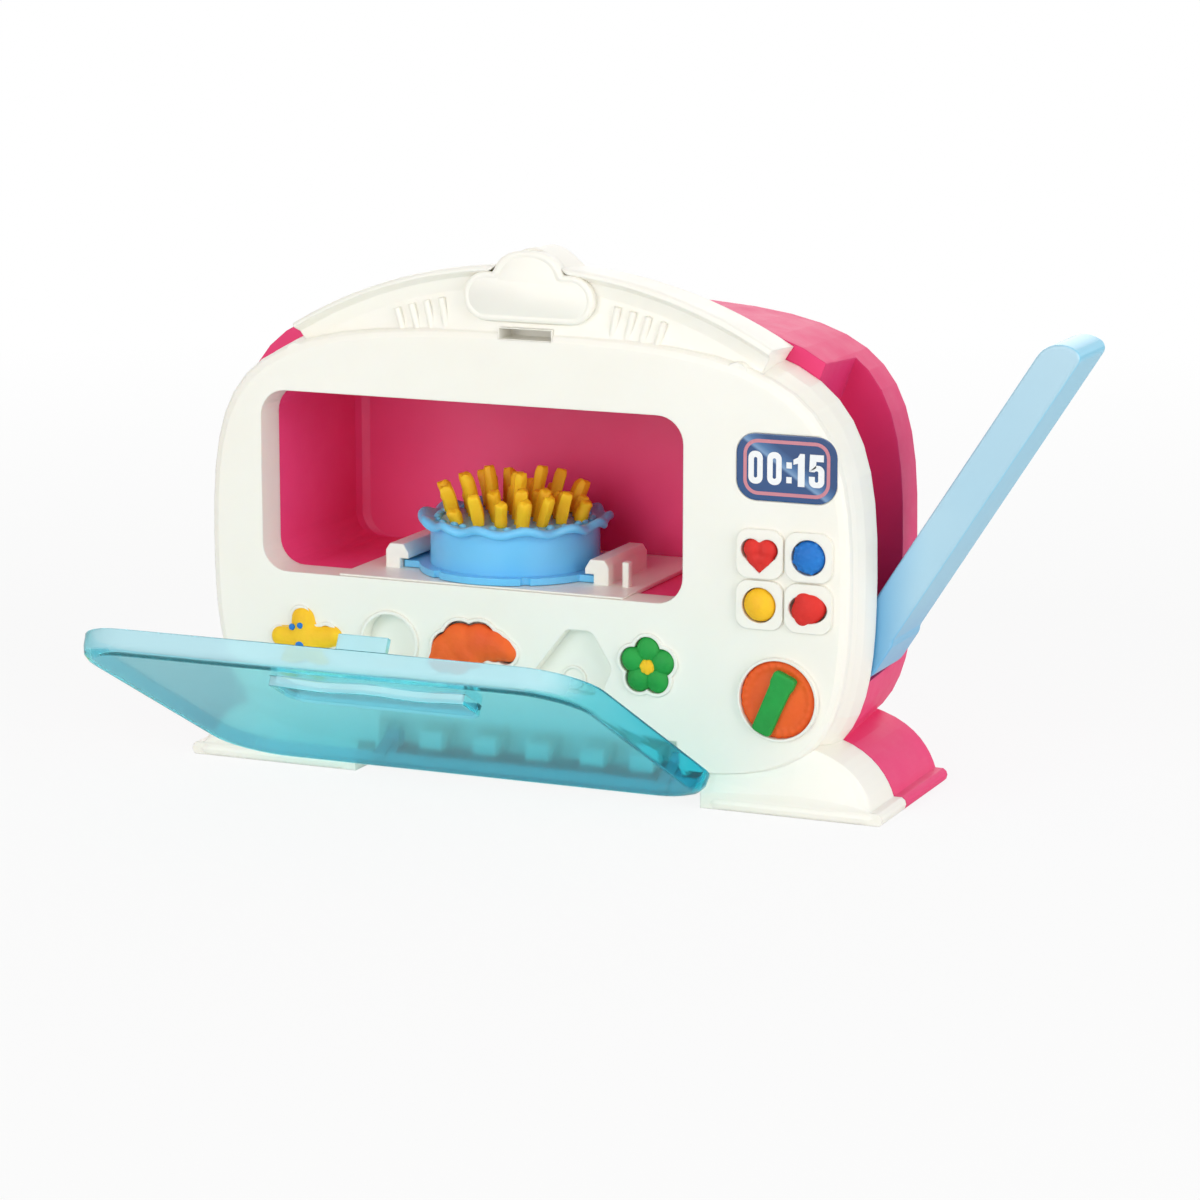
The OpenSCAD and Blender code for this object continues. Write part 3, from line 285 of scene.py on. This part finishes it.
MAT = {
    "cream_shell": cream("cream_plastic", edge=0.0009),
    "cream_plain": cream("cream_trim_plastic"),
    "pink_shell": plastic("pink_plastic", srgb(242, 66, 126), srgb(234, 58, 118), rough=0.46, edge=0.0009,
                          specular=0.3),
    # The liner's pink is written lighter than the shell's: painted light that lifts the shaded cavity
    "liner": plastic("pink_liner", srgb(253, 80, 142), srgb(246, 70, 132), rough=0.42, edge=0.0009),
    "white_inside": plastic("white_nylon", srgb(236, 236, 230), srgb(226, 226, 220), rough=0.5),
    "blue_dish": plastic("blue_dish_plastic", srgb(128, 206, 250), srgb(108, 196, 247), rough=0.34, milk=0.3,
                         milk_reach=(0.4, 0.8, 1.0), edge=0.0005),
    "blue_lever": lever_with_painted_light(),
    "aqua_clear": clear_door(),
    "steel": steel(),
    "timer_print": timer_card_print_and_glint(),
    "print_rose": ink("print_rose_ink", srgb(212, 136, 148), srgb(204, 126, 140)),
    "print_white": ink("print_white_ink", srgb(250, 250, 250), srgb(242, 244, 246)),
    "dough_yellow": dough("dough_yellow_mat", srgb(255, 206, 24), srgb(253, 188, 12)),
    "dough_orange": dough("dough_orange_mat", srgb(244, 102, 22), srgb(236, 88, 16)),
    "dough_green": dough("dough_green_mat", srgb(24, 166, 66), srgb(14, 148, 54)),
    "dough_red": dough("dough_red_mat", srgb(230, 42, 30), srgb(214, 30, 22)),
    "dough_blue": dough("dough_blue_mat", srgb(16, 126, 212), srgb(8, 108, 194)),
}

# Carried-over nodes: their materials, and moulded edges on three of them


def shade(mesh, smooth):
    for polygon in mesh.polygons:
        polygon.use_smooth = smooth


def dress(obj, material):
    if obj.data.materials:
        for i in range(len(obj.data.materials)):
            obj.data.materials[i] = material
    else:
        obj.data.materials.append(material)
    shade(obj.data, True)


def round_edges(obj, width):
    """Weld the facets, join flat areas and round what is left of the edges."""
    weld = obj.modifiers.new("weld", "WELD")
    weld.merge_threshold = 0.00001
    flat = obj.modifiers.new("flat", "DECIMATE")
    flat.decimate_type = "DISSOLVE"
    flat.angle_limit = math.radians(0.4)
    edges = obj.modifiers.new("edges", "BEVEL")
    edges.width = width
    edges.segments = 3
    edges.limit_method = "ANGLE"
    edges.angle_limit = math.radians(34)
    edges.use_clamp_overlap = False
    normals = obj.modifiers.new("normals", "WEIGHTED_NORMAL")
    normals.keep_sharp = True
    normals.weight = 50


def dress_nodes():
    slots = {part["node"]: part["material_slot"] for part in frame["record"]["subparts"]}
    slots["cavity_liner"] = "liner"
    for name, obj in frame["nodes"].items():
        dress(obj, MAT[slots[name]])
    for name, width in [("lever_arm", 0.0014), ("dish_tray", 0.0004), ("door_panel", 0.0005)]:
        round_edges(frame["nodes"][name], width)


# Camera of the photograph, and its white studio


def camera():
    yaw, pitch, roll = (math.radians(turn) for turn in (23.11, 11.57, 0.083))
    distance = 1681.5
    aim = Vector((35.0, 0, 86.4))
    back = Vector((math.sin(yaw) * math.cos(pitch), -math.cos(yaw) * math.cos(pitch), math.sin(pitch)))
    cam = bpy.data.objects.new("camera", bpy.data.cameras.new("camera"))
    scene.collection.objects.link(cam)
    cam.location = at(*(aim + back * distance))
    cam.rotation_mode = "QUATERNION"
    level = (-back).to_track_quat("-Z", "Y")
    cam.rotation_quaternion = level @ Matrix.Rotation(roll, 4, "Z").to_quaternion()
    cam.data.lens = 118.16
    cam.data.sensor_width = 36
    cam.data.clip_start = 0.05
    cam.data.clip_end = 20
    scene.camera = cam


def backdrop():
    """World that lights softly, and shows white behind the part and in its gloss."""
    world = bpy.data.worlds.new("studio")
    scene.world = world
    world.use_nodes = True
    tree = world.node_tree
    soft = tree.nodes["Background"]
    feed(tree, soft, {"Color": (1.0, 0.99, 0.98, 1), "Strength": 0.36})
    white = node(tree, "ShaderNodeBackground", {"Color": (1, 1, 1, 1), "Strength": 1.0})
    rays = node(tree, "ShaderNodeLightPath").outputs
    through = maths(tree, "MAXIMUM", rays["Is Camera Ray"], rays["Is Transmission Ray"])
    seen = maths(tree, "MAXIMUM", through, rays["Is Glossy Ray"])
    shown = mix_shaders(tree, seen, soft.outputs[0], white.outputs[0])
    feed(tree, tree.nodes["World Output"], {"Surface": shown})


def lamps():
    """Broad lamps that look at the middle of the shell: name, power, size in metres and place."""
    for name, power, size, place in [
        ("key", 21.0, 1.6, (-500, -2050, 560)),
        ("fill", 17.0, 1.5, (1850, -850, 700)),
        ("top", 5.8, 1.6, (100, 100, 1700)),
        ("rear", 8.0, 1.7, (-700, 1900, 900)),
        ("side", 9.0, 1.5, (2000, 500, 160)),
    ]:
        lamp = bpy.data.lights.new(name, "AREA")
        lamp.energy = power
        lamp.size = size
        holder = bpy.data.objects.new(name, lamp)
        holder.location = at(*place)
        holder.rotation_mode = "QUATERNION"
        holder.rotation_quaternion = (at(0, 0, 90) - holder.location).to_track_quat("-Z", "Y")
        scene.collection.objects.link(holder)


def floor_white():
    """Matt white that glows for the camera, and glows fully far from the toy, where the lamps fade."""
    material, tree, shader, output = new_material("floor_white")
    feed(tree, shader, {"Base Color": (0.9, 0.9, 0.9, 1), "Roughness": 0.9, "Specular IOR Level": 0.0})
    place = node(tree, "ShaderNodeNewGeometry").outputs["Position"]
    far = node(tree, "ShaderNodeVectorMath", {0: place}, operation="LENGTH")
    share = spread(tree, far.outputs["Value"], 0.5, 1.5, 0.86, 1.0)
    rays = node(tree, "ShaderNodeLightPath").outputs
    glow = node(tree, "ShaderNodeEmission", {"Color": (1, 1, 1, 1), "Strength": 1.0})
    seen = maths(tree, "MULTIPLY", rays["Is Camera Ray"], share)
    feed(tree, output, {"Surface": mix_shaders(tree, seen, shader.outputs[0], glow.outputs[0])})
    return material


def ground():
    bm = bmesh.new()
    bmesh.ops.create_grid(bm, x_segments=8, y_segments=8, size=12)
    mesh = bpy.data.meshes.new("floor")
    bm.to_mesh(mesh)
    bm.free()
    floor = bpy.data.objects.new("floor", mesh)
    floor.location.z = -0.0002
    scene.collection.objects.link(floor)
    mesh.materials.append(floor_white())


# Helpers for the pieces


def link(name, bm, body, mat, slot, *replaced):
    """Make the piece from its mesh, hang it on the empty of the body it rides on and hide the nodes it stands
    for.
    """
    mesh = bpy.data.meshes.new(name)
    bmesh.ops.recalc_face_normals(bm, faces=bm.faces)
    bm.to_mesh(mesh)
    bm.free()
    obj = bpy.data.objects.new(name, mesh)
    scene.collection.objects.link(obj)
    mesh.materials.append(mat)
    shade(mesh, True)
    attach(obj, body)
    if replaced:
        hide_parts(*replaced)
    return obj


def bake(obj):
    """Apply the piece's modifiers to its mesh."""
    graph = bpy.context.evaluated_depsgraph_get()
    mesh = bpy.data.meshes.new_from_object(obj.evaluated_get(graph))
    obj.modifiers.clear()
    obj.data = mesh
    shade(mesh, True)
    return obj


def melt(obj, voxel, smooth):
    """Join what overlaps into one skin and smooth it."""
    skin = obj.modifiers.new("melt", "REMESH")
    skin.mode = "VOXEL"
    skin.voxel_size = voxel
    soft = obj.modifiers.new("soften", "SMOOTH")
    soft.iterations = smooth
    soft.factor = 0.5
    return bake(obj)


def blobs(name, parts, colour, replaced, voxel=0.0006, smooth=8):
    """Lumps of dough melted into one skin. Each part is x, y, z, half sizes x, y, z and a turn in degrees."""
    bm = bmesh.new()
    for x, y, z, half_x, half_y, half_z, turn in parts:
        matrix = Matrix.Translation(at(x, y, z)) @ Matrix.Rotation(math.radians(-turn), 4, "Y")
        matrix = matrix @ Matrix.Diagonal((half_x / 1000, half_y / 1000, half_z / 1000, 1))
        bmesh.ops.create_icosphere(bm, subdivisions=4, radius=1, matrix=matrix)
    return melt(link(name, bm, "shell", MAT[colour], colour, replaced), voxel, smooth)


def arc(cx, cz, radius, start, end, steps):
    points = []
    for i in range(steps + 1):
        a = math.radians(start + (end - start) * i / steps)
        points.append((cx + radius * math.cos(a), cz + radius * math.sin(a)))
    return points


def rounded(cx, cz, width, height, radius, steps):
    """Outline of a rectangle with round corners."""
    points = []
    for side_x, side_z, start in [(1, 1, 0), (-1, 1, 90), (-1, -1, 180), (1, -1, 270)]:
        corner_x = cx + side_x * (width / 2 - radius)
        corner_z = cz + side_z * (height / 2 - radius)
        points += arc(corner_x, corner_z, radius, start, start + 90, steps)
    return points


def ring_at(bm, y, outline):
    """Vertices of an outline that faces the front, at depth y."""
    return [bm.verts.new(at(x, y, z)) for x, z in outline]


def band(bm, first, second):
    """Faces between two closed rings."""
    count = len(first)
    for q in range(count):
        k = (q + 1) % count
        bm.faces.new((first[q], first[k], second[k], second[q]))


def stack(bm, rings):
    """Closed form through a list of rings, with a face over each end."""
    bm.faces.new(rings[0])
    for first, second in zip(rings, rings[1:]):
        band(bm, first, second)
    bm.faces.new(list(reversed(rings[-1])))


def lathe(profile, centre, around, wave):
    """Turned form about a vertical axis; wave(angle, r, z) moves each point of the profile."""
    bm = bmesh.new()
    columns = []
    for i in range(around):
        a = 2 * math.pi * i / around
        column = []
        for point in profile:
            r, z = wave(a, *point)
            column.append(bm.verts.new(at(centre[0] + r * math.cos(a), centre[1] + r * math.sin(a), z)))
        columns.append(column)
    for i, column in enumerate(columns):
        after = columns[(i + 1) % around]
        for k in range(len(profile) - 1):
            bm.faces.new((column[k], after[k], after[k + 1], column[k + 1]))
    bmesh.ops.remove_doubles(bm, verts=bm.verts, dist=1e-6)
    return bm


# Badge and latch pocket


def badge():
    """Bare badge: a long oval plate with a round dome on its top edge and a soft rim."""
    cx, cz = 1.0, 214.0
    half, radius, end_steps = 30.2, 10.6, 24
    dome, top, dome_steps = 16.0, 235.0, 32
    fullness = 2.3
    foot, fillet = 3.0, 0.9

    def outline(inset):
        points = arc(cx - half + radius, cz, radius - inset, 90, 270, end_steps)
        points += arc(cx + half - radius, cz, radius - inset, 270, 450, end_steps)
        for i in range(dome_steps + 1):
            x = (dome + foot - inset) * (1 - 2 * i / dome_steps)
            rise = max(0.0, 1 - (abs(x) / (dome - inset)) ** fullness) ** 0.5 * (top - cz - radius)
            points.append((cx + x, cz + radius - inset + math.hypot(rise, fillet) - fillet))
        return points

    # Depth and inset of each ring, from the back to the face with its thin groove
    levels = [(7.0, 0.3), (1.9, 0.0), (1.2, 0.15), (0.7, 0.55), (0.45, 1.2), (0.4, 2.2), (0.62, 2.5),
              (0.62, 2.9), (0.4, 3.2)]
    bm = bmesh.new()
    stack(bm, [ring_at(bm, y, outline(inset)) for y, inset in levels])
    link("badge_dome", bm, "shell", MAT["cream_plain"], "cream_shell", "badge_plate")


def latch_pocket():
    """Moulded pocket that takes the latch: a thin box, open to the front."""
    half, low, high = 12.45, 195.85, 200.95
    mouth, depth = 0.35, 13.8
    # Thickness of its walls at the sides, above and below, and at the back
    side, sill, back = 0.35, 0.3, 0.6

    def ring(y, wall, edge):
        x = half - wall
        bottom = low + edge
        ceiling = high - edge
        return ring_at(bm, y, [(-x, bottom), (x, bottom), (x, ceiling), (-x, ceiling)])

    bm = bmesh.new()
    outer = [ring(mouth, 0, 0), ring(depth, 0, 0)]
    inner = [ring(depth - back, side, sill), ring(mouth, side, sill)]
    band(bm, *outer)
    band(bm, *inner)
    band(bm, inner[1], outer[0])
    bm.faces.new(outer[1])
    bm.faces.new(inner[0])
    obj = link("latch_pocket", bm, "shell", MAT["cream_plain"], "cream_shell")
    shade(obj.data, False)


# Dish: its ruffled die and the strands of dough


def ruffled_die():
    """Ruffled rim and die plate, with a ring of small nubs round the strands."""
    flat, blend = 36.5, 5
    waves = 13
    nubs, nub_ring, nub_height = 30, 34.2, 111.3

    def wave(a, r, z):
        share = max(0.0, min(1.0, (r - flat) / blend))
        share = share * share * (3 - 2 * share)
        phase = waves * a + 0.5 * math.sin(3 * a)
        return r + 1.0 * share * math.cos(phase), z + 1.15 * share * math.cos(phase + 0.9)

    under = [(34.4, 108.5), (37.6, 108.7)]
    lip = arc(40.6, 110.8, 2.0, -150, 90, 12)
    plate = [(38.4, 112.1), (36.4, 110.8), (34.5, 110.9), (30, 111.3), (20, 111.8), (8, 112.2), (0.01, 112.3)]
    bm = lathe(under + lip + plate, DISH, 224, wave)
    for i in range(nubs):
        a = 2 * math.pi * i / nubs + random.uniform(-0.05, 0.05)
        r = nub_ring + random.uniform(-1.2, 1.2)
        size = random.uniform(1.4, 2.1) / 1000
        place = at(DISH[0] + r * math.cos(a), DISH[1] + r * math.sin(a), nub_height)
        matrix = Matrix.Translation(place) @ Matrix.Diagonal((size, size, size * 0.8, 1))
        bmesh.ops.create_icosphere(bm, subdivisions=2, radius=1, matrix=matrix)
    link("ruffled_die", bm, "dish", MAT["blue_dish"], "blue_dish", "dish_die")


def strand(bm, i, j):
    """One strand of the grid: round, square or six-sided, bent outwards, with a torn end."""
    pitch, steps, round_sides = 10.4, 9, 20
    x = pitch * (i + j / 2)
    y = pitch * j * math.sin(math.radians(60))
    far = math.hypot(x, y)
    turn = math.atan2(y, x)
    length = (25 - far * 0.35) * random.choice([0.55, 0.75, 0.9, 1.0, 1.02]) + random.uniform(-1.5, 1.0)
    sideways = random.uniform(-0.16, 0.16)
    lean = math.radians(0.6 * far)
    sides = (round_sides, 4, 6)[(i - j + 9) % 3]
    cornered = sides < round_sides
    # A cornered section has a point at each corner and one at the middle of each side
    count = sides * 2 if cornered else sides
    radius = 2.95 * (1.18 if sides == 4 else 1.0)
    start = math.radians(65) if sides == 4 else 0

    def section(centre, axis, u, swell, torn):
        v = axis.cross(u)
        ring = []
        for q in range(count):
            a = start + 2 * math.pi * q / count
            reach = radius * swell
            if cornered and q % 2:
                reach *= math.cos(math.pi / sides) * 1.03
            p = centre + u * reach * math.cos(a) + v * reach * math.sin(a) + axis * torn * math.sin(3 * a + i)
            ring.append(bm.verts.new(at(DISH[0] + p.x, DISH[1] + p.y, p.z)))
        return ring

    before = None
    for k in range(steps + 1):
        end = k == steps
        t = k / steps
        s = length * t
        bend = lean * (0.55 + 0.6 * t)
        axis = Vector((math.cos(turn) * math.sin(bend), math.sin(turn) * math.sin(bend), math.cos(bend)))
        drift = Vector((-math.sin(turn), math.cos(turn), 0)) * sideways
        centre = Vector((x, y, DIE_FACE)) + (axis + drift) * s
        u = Vector((math.cos(bend), 0, -math.sin(bend) * math.cos(turn))).normalized()
        u = (u - axis * u.dot(axis)).normalized()
        swell = 1 + 0.05 * math.sin(7 * t + i * 2 + j) + (0.04 if 0.2 < t < 0.9 else 0)
        ring = section(centre, axis, u, swell * (0.86 if end else 1), 0.5 if end else 0)
        if before:
            band(bm, before, ring)
        else:
            bm.faces.new(list(reversed(ring)))
        before = ring
    tip = bm.verts.new(at(DISH[0] + centre.x, DISH[1] + centre.y, centre.z + 0.5))
    for q in range(count):
        bm.faces.new((before[q], before[(q + 1) % count], tip))


def strands():
    """Dough pressed through the 37 openings of the die, which lie on a grid of triangles."""
    rows = 3
    bm = bmesh.new()
    for i in range(-rows, rows + 1):
        for j in range(-rows, rows + 1):
            if abs(i + j) <= rows:
                strand(bm, i, j)
    obj = link("strand_bundle", bm, "dish", MAT["dough_yellow"], "dough_yellow", "dough_strands")
    edges = obj.modifiers.new("soft_edges", "BEVEL")
    edges.width = 0.0005
    edges.segments = 2
    edges.limit_method = "ANGLE"
    edges.angle_limit = math.radians(35)
    bake(obj)


# Dough in the moulds, the tiles and the dial


def button(bm, x, y, z, radius, height):
    """Pressed disc of dough that faces the front: a domed face over a rounded edge, sunk at its back."""
    around = 28
    rings = []
    for depth, share in [(1.0, 0.86), (0.62, 1.0), (0.34, 0.97), (0.12, 0.84), (0.02, 0.55), (0.0, 0.25)]:
        outline = []
        for i in range(around):
            a = 2 * math.pi * i / around
            r = radius * share * (1 + 0.03 * math.sin(3 * a + x))
            outline.append((x + r * math.cos(a), z + r * math.sin(a)))
        rings.append(ring_at(bm, y + height * 2 * depth - height, outline))
    stack(bm, rings)


def star():
    """Star figure with five plump arms of overlapping lumps, and its three dots."""
    cx, cz = -106.8, 57.4
    lumps = 5
    parts = [(cx, 0.2, cz - 0.6, 9.8, 4.9, 9.0, 0), (cx - 0.5, 0.4, cz - 5.5, 9.0, 4.0, 5.5, 0)]
    # Direction in degrees, reach, and radius at the root and at the tip of each arm
    arms = [(94, 8.8, 7.0, 5.8), (9, 14.0, 6.4, 4.8), (178, 11.4, 6.0, 5.0), (304, 13.4, 6.0, 4.9),
            (238, 13.6, 6.0, 4.9)]
    for turn, reach, root, tip in arms:
        a = math.radians(turn)
        for k in range(lumps):
            t = (k + 1) / lumps
            r = root + (tip - root) * t
            x = cx + reach * t * math.cos(a)
            z = cz + reach * t * math.sin(a)
            parts.append((x, 0.3, z, r, 4.4 - 0.5 * t, r, 0))
    blobs("star_dough", parts, "dough_yellow", "dough_star", smooth=10)
    # Each dot lies at a place on the star, at a depth and with a radius
    dots = bmesh.new()
    for dx, dz, y, r in [(-4.6, 5.6, -3.5, 1.45), (-0.6, 6.5, -3.5, 1.45), (-0.5, -2.4, -4.2, 2.15)]:
        button(dots, cx + dx, y, cz + dz, r, 0.9)
    link("star_dot_set", dots, "shell", MAT["dough_blue"], "dough_blue", "star_dots")


def crescent():
    """Crescent of rolled layers, each with its place, half sizes and turn."""
    cx, cz = -25, 61
    rolls = [(-15.0, -8.2, 6.4, 6.6, 10), (-11.5, -3.6, 8.8, 8.6, 20), (-6, 0.2, 9.2, 9.6, 0),
             (-9.0, -8.6, 7.6, 6.0, -30), (-1.0, -4.2, 7.0, 6.6, -30), (3.0, 1.4, 8.6, 9.0, -10),
             (9.6, 1.2, 7.4, 7.4, -20), (14.2, 0.2, 6.0, 5.8, -25), (17.4, -1.4, 4.2, 4.2, -30)]
    parts = [(cx + dx, 0.6, cz + dz, half_x, 4.8, half_z, turn) for dx, dz, half_x, half_z, turn in rolls]
    blobs("crescent_dough", parts, "dough_orange", "dough_croissant", smooth=10)


def flower():
    """Five domed petals, creased where they meet, round an eye of small lumps."""
    cx, cz = 57.6, 59.5
    petals, petal_ring = 5, 6.9
    lumps, lump_ring = 7, 2.1
    bm = bmesh.new()
    for k in range(petals):
        a = math.radians(90 + 360 / petals * k)
        place = at(cx + petal_ring * math.cos(a), 1.2, cz + petal_ring * math.sin(a))
        matrix = Matrix.Translation(place) @ Matrix.Rotation(-a, 4, "Y")
        matrix = matrix @ Matrix.Diagonal((0.0062, 0.0042, 0.0058, 1))
        bmesh.ops.create_uvsphere(bm, u_segments=40, v_segments=24, radius=1, matrix=matrix)
    link("flower_dough", bm, "shell", MAT["dough_green"], "dough_green", "dough_flower")
    parts = [(cx, -0.9, cz, 3.5, 2.5, 3.4, 0)]
    for k in range(lumps):
        a = 0.9 * k + 0.3
        x = cx + lump_ring * math.cos(a)
        z = cz + lump_ring * math.sin(a)
        parts.append((x, -1.3, z, 1.5, 1.7 + 0.2 * (k % 2), 1.4, 20 * k))
    blobs("flower_eye", parts, "dough_yellow", "flower_centre", voxel=0.0003, smooth=3)


def heart(cx, cz):
    """Heart of two lumps on each side, each with its place, half sizes and turn, and a tip."""
    parts = []
    lobe = (2.9, 2.0, 4.7, 4.0, 4.6, -30)
    flank = (1.8, -2.0, 4.4, 3.7, 4.2, 45)
    for dx, dz, half_x, half_y, half_z, turn in (lobe, flank):
        for side in (-1, 1):
            parts.append((cx + side * dx, 0.3, cz + dz, half_x, half_y, half_z, side * turn))
    parts.append((cx, 0.4, cz - 5.2, 2.8, 3.0, 3.2, 0))
    blobs("heart_dough", parts, "dough_red", "dough_heart", voxel=0.0005, smooth=6)


def ball(name, cx, cz, colour, replaced, pips):
    """Ball of dough with pips over its face, laid on a spiral."""
    radius, rise = 7.3, 3.9
    golden_turn = 2.4
    parts = [(cx, 0.3, cz, 7.2, 4.4, 7.2, 0)]
    for k in range(pips):
        a = golden_turn * k
        off = 6.8 * math.sqrt((k + 0.5) / pips)
        y = 0.4 - rise * math.sqrt(max(0.05, 1 - (off / radius) ** 2))
        parts.append((cx + off * math.cos(a), y, cz + off * math.sin(a), 1.0, 0.8, 1.0, 0))
    blobs(name, parts, colour, replaced, voxel=0.0004, smooth=2)


def oval(cx, cz):
    parts = [(cx, 0.3, cz, 8.3, 4.4, 6.6, 35), (cx - 2.4, 0.4, cz - 3.8, 4.2, 3.8, 4.2, 0),
             (cx - 1.6, 0.4, cz + 3.8, 4.8, 3.8, 3.8, 0)]
    blobs("oval_dough_red", parts, "dough_red", "dough_oval_red", voxel=0.0005, smooth=3)


def tiles():
    """Heart, balls and oval, one in each of the four tiles."""
    cx, cz = TILES
    off = 10.9
    heart(cx - off, cz + off)
    ball("ball_dough_blue", cx + off, cz + off, "dough_blue", "dough_ball_blue", 26)
    ball("ball_dough_yellow", cx - off, cz - off, "dough_yellow", "dough_ball_yellow", 0)
    oval(cx + off, cz - off)


def dial():
    """Disc of pressed dough with a plump rim."""
    cx, cz = DIAL
    lumps, lump_ring = 28, 14.4
    parts = [(cx, 1.5, cz, 17.0, 3.6, 17.0, 0)]
    for k in range(lumps):
        a = 2 * math.pi * k / lumps
        parts.append((cx + lump_ring * math.cos(a), 1.3, cz + lump_ring * math.sin(a), 2.9, 3.2, 2.9, 0))
    blobs("dial_dough", parts, "dough_orange", "dial_disc")


def dial_bar():
    """Pressed bar of dough: a slab with a collar near its head, soft edges and a face that slopes."""
    cx, cz = DIAL[0] - 1.4, DIAL[1] - 1.8
    a = math.radians(66)
    side = [(-14.0, -3.4), (-13.2, -4.4), (8.0, -4.7), (9.2, -5.3), (13.6, -5.2), (14.4, -4.2)]
    outline = side + [(u, -v) for u, v in reversed(side)]
    bm = bmesh.new()
    front = []
    for u, v in outline:
        x = cx + u * math.cos(a) - v * math.sin(a)
        z = cz + u * math.sin(a) + v * math.cos(a)
        front.append(bm.verts.new(at(x, -4.6 - 0.03 * u, z)))
    face = bm.faces.new(front)
    back = bmesh.ops.extrude_face_region(bm, geom=[face])["geom"]
    bmesh.ops.translate(bm, verts=[v for v in back if isinstance(v, bmesh.types.BMVert)], vec=(0, 0.0048, 0))
    obj = link("dial_bar_dough", bm, "shell", MAT["dough_green"], "dough_green", "dial_bar")
    edges = obj.modifiers.new("round", "BEVEL")
    edges.width = 0.0011
    edges.segments = 3
    melt(obj, 0.0005, 6)


# Timer: a printed card with a thin ring and plain digits


def timer():
    """Card with a bevelled edge, and the ring and digits printed on it."""
    cx, cz = TIMER
    width, height, radius = 44.5, 28.2, 8.7

    def outline(inset_x, inset_z, cut):
        return rounded(cx, cz, width - inset_x, height - inset_z, radius - cut, 10)

    levels = [(0.7, 0), (0.25, 0), (0.12, 0.35)]
    bm = bmesh.new()
    stack(bm, [ring_at(bm, y, outline(2 * cut, 2 * cut, cut)) for y, cut in levels])
    obj = link("timer_card", bm, "shell", MAT["timer_print"], "timer_print", "timer_label")
    shade(obj.data, False)
    bm = bmesh.new()
    print_y = 0.06
    band(bm, ring_at(bm, print_y, outline(6.0, 4.6, 2.2)), ring_at(bm, print_y, outline(9.0, 7.6, 3.7)))
    link("timer_ring", bm, "shell", MAT["print_rose"], "timer_print")
    digits(cx - 17.0, cz - 7.2, 13.9)


def digits(left, low, tall):
    """Plain block digits 00:15, printed as thin filled shapes."""
    bm = bmesh.new()
    print_y = 0.03

    def strip(first, second, closed=True):
        """Faces between two outlines of as many points."""
        a = ring_at(bm, print_y, [(left + x, low + z) for x, z in first])
        b = ring_at(bm, print_y, [(left + x, low + z) for x, z in second])
        if closed:
            band(bm, a, b)
        else:
            for q in range(len(a) - 1):
                bm.faces.new((a[q], a[q + 1], b[q + 1], b[q]))

    def fill(points):
        bm.faces.new(ring_at(bm, print_y, [(left + x, low + z) for x, z in points]))

    # The two zeros, the colon and the one
    for middle in (3.2, 11.6):
        hole = rounded(middle, tall / 2, 1.5, tall - 5.2, 0.74, 6)
        strip(rounded(middle, tall / 2, 6.4, tall, 2.9, 6), hole)
    for z in (1.2, 7.4):
        fill([(16.9, z), (19.3, z), (19.3, z + 2.6), (16.9, z + 2.6)])
    fill([(22.0, 0), (25.0, 0), (25.0, tall), (22.9, tall), (21.9, tall - 1.7), (20.0, tall - 2.6),
          (20.0, tall - 4.8), (22.0, tall - 4.2)])
    # The five: its bar and neck, then its open bowl
    fill([(27.3, tall), (33.4, tall), (33.4, tall - 2.9), (30.1, tall - 2.9), (30.0, tall - 5.6),
          (27.0, 6.6)])
    outside = [(27.0, 6.6), (30.0, 9.4)] + arc(31.0, 6.7, 2.7, 90, 0, 8) + arc(31.0, 2.7, 2.7, 360, 270, 8)
    outside += arc(29.6, 2.7, 2.7, 270, 180, 8) + [(26.9, 4.6)]
    inside = [(29.5, 6.6), (29.6, 6.9)] + arc(30.3, 6.4, 0.7, 90, 0, 8) + arc(30.3, 3.0, 0.7, 360, 270, 8)
    inside += arc(30.2, 3.0, 0.7, 270, 180, 8) + [(29.5, 4.6)]
    strip(outside, inside, closed=False)
    link("timer_digits", bm, "shell", MAT["print_white"], "timer_print")


dress_nodes()
badge()
latch_pocket()
ruffled_die()
strands()
star()
crescent()
flower()
tiles()
dial()
dial_bar()
timer()
camera()
backdrop()
lamps()
ground()
scene.view_settings.view_transform = "Standard"
